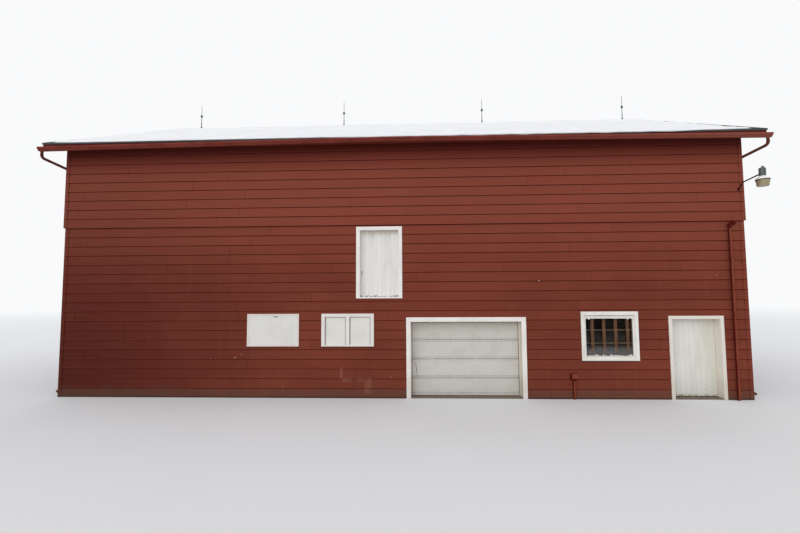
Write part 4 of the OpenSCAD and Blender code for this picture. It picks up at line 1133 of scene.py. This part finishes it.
def saddle(shape, x, foot):
    """Bent strap over the ridge that carries a rod."""
    half, reach, thick = 0.045, 0.09, 0.008
    drop = reach * SLOPE
    line = ((-reach, -drop), (0, 0), (reach, -drop),
            (reach, thick - drop), (0, thick), (-reach, thick - drop))
    base = foot - thick / 2
    shape.prism([(x - half, y, base + z) for y, z in line], [(x + half, y, base + z) for y, z in line])


def bend(points, steps=8):
    """A smooth curve that cuts the corner at the middle of three points."""
    a, b, c = (Vector(p) for p in points)
    shares = [k / steps for k in range(steps + 1)]
    return [(1 - t) ** 2 * a + 2 * t * (1 - t) * b + t * t * c for t in shares]


def yard_light():
    """Lamp of the corner: wall plate, bent arm, ribbed case with its sensor, reflector, rim and lens."""
    lo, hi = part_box("yard_light")
    rim_r, cap_top = 0.158, 0.41
    centre = ((lo.x + hi.x) / 2, lo.y + rim_r, hi.z - cap_top)
    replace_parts(lamp_arm(centre), "yard_light")
    lamp_case(centre, cap_top)
    shade = ((0.064, 0.15), (0.088, 0.141), (0.12, 0.112), (0.145, 0.078), (0.156, 0.058), (0.15, 0.054))
    turned("yard_light_reflector", centre, shade, 40, WHITE, "white_trim")
    rim = ((0.146, 0.04), (0.156, 0.04), (rim_r, 0.047), (0.156, 0.057), (0.146, 0.058))
    turned("yard_light_rim", centre, rim, 40, IRON, "dark_iron")
    lamp_lens(centre)


def lamp_case(centre, cap_top):
    """The ribbed case, with the light sensor's cap set a little towards the front."""
    x, y, z = centre
    ribs, cap_out = 12, 0.018
    case = Shape()
    case.lathe(centre, ((0.058, 0.142), (0.07, 0.15), (0.07, 0.35), (0.062, 0.365), (0.04, 0.372)), 32)
    section = ((0.066, -0.004), (0.076, -0.003), (0.076, 0.003), (0.066, 0.004))
    for a in turns(ribs):
        out, off = Vector((math.cos(a), math.sin(a), 0)), Vector((-math.sin(a), math.cos(a), 0))
        low, high = (
            [Vector((x, y, z + up)) + out * r + off * w for r, w in section] for up in (0.16, 0.345))
        case.prism(low, high)
    case.lathe((x, y - cap_out, z), ((0.03, 0.34), (0.03, 0.398), (0.024, 0.408), (0.01, cap_top)), 24)
    case.piece("yard_light_case", LAMP_CASE, "grey_metal", bevel=0.002)


def lamp_lens(centre):
    """The lens, with fine upright ribs."""
    x, y, z = centre
    sides, rib = 72, 0.003
    lens = Shape()
    lens.rings([
        [(x + (r - rib * (k % 2)) * math.cos(a), y + (r - rib * (k % 2)) * math.sin(a), z + up)
         for k, a in enumerate(turns(sides))]
        for r, up in ((0.118, -0.118), (0.127, -0.112), (0.132, -0.07), (0.138, -0.02), (0.145, 0.042))
    ])
    yellowed = lamp_glass("lamp_lens", (0.42, 0.34, 0.2), (0.3, 0.24, 0.14))
    lens.piece("yard_light_lens", yellowed, "grey_metal")


def lamp_arm(centre):
    """Round plate on the wall and the arm that bends out to the lamp's case."""
    x, axis_y, z = centre
    wall_y = -UP_Y
    wrist, knee = (x, wall_y - 0.058, z + 0.01), (x, wall_y - 0.165, z + 0.155)
    path = [(x, wall_y - 0.004, z)]
    path += bend([(x, wall_y - 0.036, z + 0.004), wrist, (x, wall_y - 0.09, z + 0.053)])
    path += bend([(x, wall_y - 0.13, z + 0.108), knee, (x, wall_y - 0.25, z + 0.165)])
    path += [(x, axis_y, z + 0.23)]
    arm = Shape()
    arm.tube(path, 0.018)
    plate = ((0.04, 0.0), (0.04, 0.026), (0.034, 0.032), (0.02, 0.036))
    arm.rings([upright_ring(x, wall_y - out, z, r, 24) for r, out in plate])
    return arm.piece("yard_light_arm", DARK_RED, "grey_metal", smooth=True)


def window_marks():
    """Clips and painted shade in the seam at the storm sash's head, a mark on the boarded window, and
    painted shade lines at the slider panels' edges.
    """
    left, _, right, top = outline_of("glazed_window_frame")
    face = casing_face("glazed_window_frame")
    clips = [((x - 0.02, face - 0.008, 2.185), (x + 0.02, face, 2.222)) for x in (5.427, 6.485)]
    boxes("window_clips", clips, WHITE, "white_trim", bevel=0.002)
    # A grey strip of painted shade in the seam under the head
    groove = (
        (left + WINDOW_SIDE, face + 0.004, top - 0.108), (right - WINDOW_SIDE, face + 0.03, top - 0.099))
    boxes("window_groove_shade", [groove], PLANK_SEAM, "white_trim")
    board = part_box("boarded_window")[0].y
    mark = ((-3.452, board - 0.004, 2.27), (-3.338, board, 2.296))
    boxes("board_mark", [mark], PLANK_SEAM, "white_trim", bevel=0.001)
    lo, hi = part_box("slider_window_panels")
    post = (lo.x + hi.x) / 2
    post_edge, rim_edge, half = 0.073, 0.006, 0.003
    # Thin strips of painted shade along the slider panels' edges
    edges = [
        ((x - half, lo.y - 0.0012, lo.z + 0.01), (x + half, lo.y, hi.z - 0.01))
        for x in (lo.x + rim_edge, post - post_edge, post + post_edge, hi.x - rim_edge)
    ]
    boxes("slider_panel_shade_lines", edges, PLANK_SEAM, "window_panels")


def wall_marks():
    """Screws, paint chips and dark strips of painted shadow under the low windows' sills."""
    screws = [(8.963, SIDING_FACE, 3.385, 0.009, 0.006),
              (MAST_MID + 0.092, SIDING_FACE, 3.811, 0.015, 0.008)]
    domes("wall_screws", screws, WHITE, "white_trim")
    chips = ((-4.574, 1.126, 0.014), (-4.389, 1.219, 0.008), (-4.079, 1.115, 0.008), (-3.173, 0.305, 0.009),
             (-5.283, 1.108, 0.007), (-0.086, 0.589, 0.007), (4.092, 3.278, 0.016))
    domes("paint_chips", [(x, SIDING_FACE, z, r, 0.005) for x, z, r in chips], DOOR_TRIM, "red_siding")
    # Dark strips of painted shadow under the sills
    under = []
    for node in ("slider_window_frame", "boarded_window", "glazed_window_frame"):
        left, bottom, right, _ = outline_of(node)
        under.append(((left - 0.01, -LOW_Y - 0.024, bottom - 0.022),
                      (right + 0.01, -LOW_Y - 0.004, bottom - CASING_SKIN)))
    boxes("sill_shadows", under, DARK_RED, "red_siding")


def door_marks():
    """An old mark on the hay door, bolts on the side door and a nail in its casing."""
    face = HAY_LO.y - 0.005
    mark = ((-0.942, face - 0.002, 3.47), (-0.926, face, 3.6))
    boxes("old_marks", [mark], SEAM, "dark_iron", bevel=0.001)
    bolts = [(x, PLANK_FACE, z, 0.011, 0.002) for x, z in ((7.868, 1.199), (7.884, 0.923), (8.65, 0.23))]
    domes("side_door_bolts", bolts, IRON, "dark_iron", LEAF)
    nail = (9.012, casing_face("side_door_frame"), 0.858, 0.009, 0.002)
    domes("casing_nail", [nail], IRON, "dark_iron")


def service_box():
    """Lid, pipe clips and sleeve of the small box on the wall."""
    lo, hi = METER_LO, METER_HI
    x, pipe_y, foot = (lo.x + hi.x) / 2, -LOW_Y - 0.045, METER_FOOT
    shape = Shape()
    shape.box((lo.x - 0.004, lo.y - 0.004, foot - 0.004), (hi.x + 0.004, lo.y + 0.012, hi.z + 0.004))
    for z in (0.16, 0.42):
        shape.box((x - 0.055, pipe_y, z - 0.01), (x + 0.055, -LOW_Y - 0.015, z + 0.01))
    sleeve = ((0.03, foot - 0.05), (0.04, foot - 0.045), (0.04, foot), (0.03, foot))
    shape.lathe((x, pipe_y, 0), sleeve, 24)
    shape.piece("wall_box_lid", BOX_PAINT, "red_metal", bevel=0.002)


def camera():
    """The photograph's viewpoint, fitted to the siding's courses and the openings' edges."""
    place = (0.607, -16.923, 2.983)
    pitch, yaw, roll = math.radians(3.614), math.radians(-2.172), math.radians(-0.316)
    ahead = Vector((math.sin(yaw) * math.cos(pitch), math.cos(yaw) * math.cos(pitch), math.sin(pitch)))
    level = Vector((math.cos(yaw), -math.sin(yaw), 0))
    above = level.cross(ahead)
    right = level * math.cos(roll) + above * math.sin(roll)
    up = above * math.cos(roll) - level * math.sin(roll)
    data = bpy.data.cameras.new("camera")
    data.sensor_width = 36.0
    data.lens = 18.0
    data.clip_end = 500.0
    thing = placed("camera", data)
    turn = Matrix((right, up, -ahead)).transposed().to_4x4()
    thing.matrix_world = Matrix.Translation(place) @ turn
    bpy.context.scene.camera = thing


def seen_directly(n):
    """1 for camera, glossy and transmission rays, for the plain white background."""
    rays = n.node("ShaderNodeLightPath").outputs
    total = n.sum("MAXIMUM", rays["Is Camera Ray"], rays["Is Glossy Ray"])
    return n.sum("MAXIMUM", total, rays["Is Transmission Ray"])


# Light: the world's strength low and high, the lamp, the floor's bounce and where the floor fades
HORIZON, ZENITH, LAMP, BOUNCE = 0.84, 0.92, 0.85, 0.62
FADE_START, FADE_END = 26.0, 90.0
SKY_WHITE = (0.95, 0.955, 0.965)


def light():
    """Soft light that grows towards the zenith, with one broad lamp from the front and above."""
    world = bpy.data.worlds.new("studio")
    bpy.context.scene.world = world
    n = Nodes(world, "Generated")
    strength = n.ramp(n.axis("Z"), 0.0, 1.0, HORIZON, ZENITH, "LINEAR")
    soft = n.node("ShaderNodeBackground", {"Color": (0.97, 0.985, 1.0), "Strength": strength})
    white = n.node("ShaderNodeBackground", {"Color": SKY_WHITE, "Strength": 1.0})
    n.node("ShaderNodeOutputWorld", {"Surface": n.shaders(seen_directly(n), soft, white)})

    sun = bpy.data.lights.new("soft_lamp", "SUN")
    sun.energy = LAMP
    sun.angle = math.radians(50)
    sun.color = (1.0, 0.985, 0.965)
    thing = placed("soft_lamp", sun)
    thing.rotation_euler = Vector((0.65, 1.0, -0.42)).to_track_quat("-Z", "Y").to_euler()


def floor_paint():
    """Pale floor that keeps the shadow near the barn and fades to the background far away."""
    material = bpy.data.materials.new("floor")
    n = Nodes(material)
    tint = n.mix(n.noise(0.4, detail=2.0, roughness=0.5), (0.8, 0.805, 0.82), (0.83, 0.835, 0.85))
    colour = n.mix(seen_directly(n), (BOUNCE, BOUNCE, BOUNCE), tint)
    matte = n.node("ShaderNodeBsdfDiffuse", {"Color": colour})
    glow = n.node("ShaderNodeEmission", {"Color": SKY_WHITE})
    far = n.node("ShaderNodeVectorMath", {0: n.place}, operation="LENGTH").outputs["Value"]
    faded = n.times(n.ramp(far, FADE_START, FADE_END), seen_directly(n))
    n.node("ShaderNodeOutputMaterial", {"Surface": n.shaders(faded, matte, glow)})
    return material


def ground():
    """The floor as a wide disc under the barn."""
    radius, sides = 160.0, 96
    mesh = bpy.data.meshes.new("floor")
    mesh.from_pydata(level_ring(0, 0, -0.004, radius, sides), [], [tuple(range(sides))])
    thing = placed("floor", mesh)
    thing.data.materials.append(floor_paint())


bpy.context.scene.view_settings.view_transform = "Standard"
camera()
light()
ground()
finish_nodes()
dress_walls()
shingle_slope(-1, "front_shingles")
shingle_slope(1, "rear_shingles")
ridge_shingles()
snow_sheet(-1, "front_snow")
snow_sheet(1, "rear_snow")
dress_openings()
hay_door_planks()
side_door_planks()
garage_panels()
garage_dirt_and_shade()
garage_scratch()
window_bars()
gutter_parts(-1, "front_gutter_straps")
gutter_parts(1, "rear_gutter_straps")
lightning_rods()
yard_light()
service_box()
window_marks()
wall_marks()
door_marks()
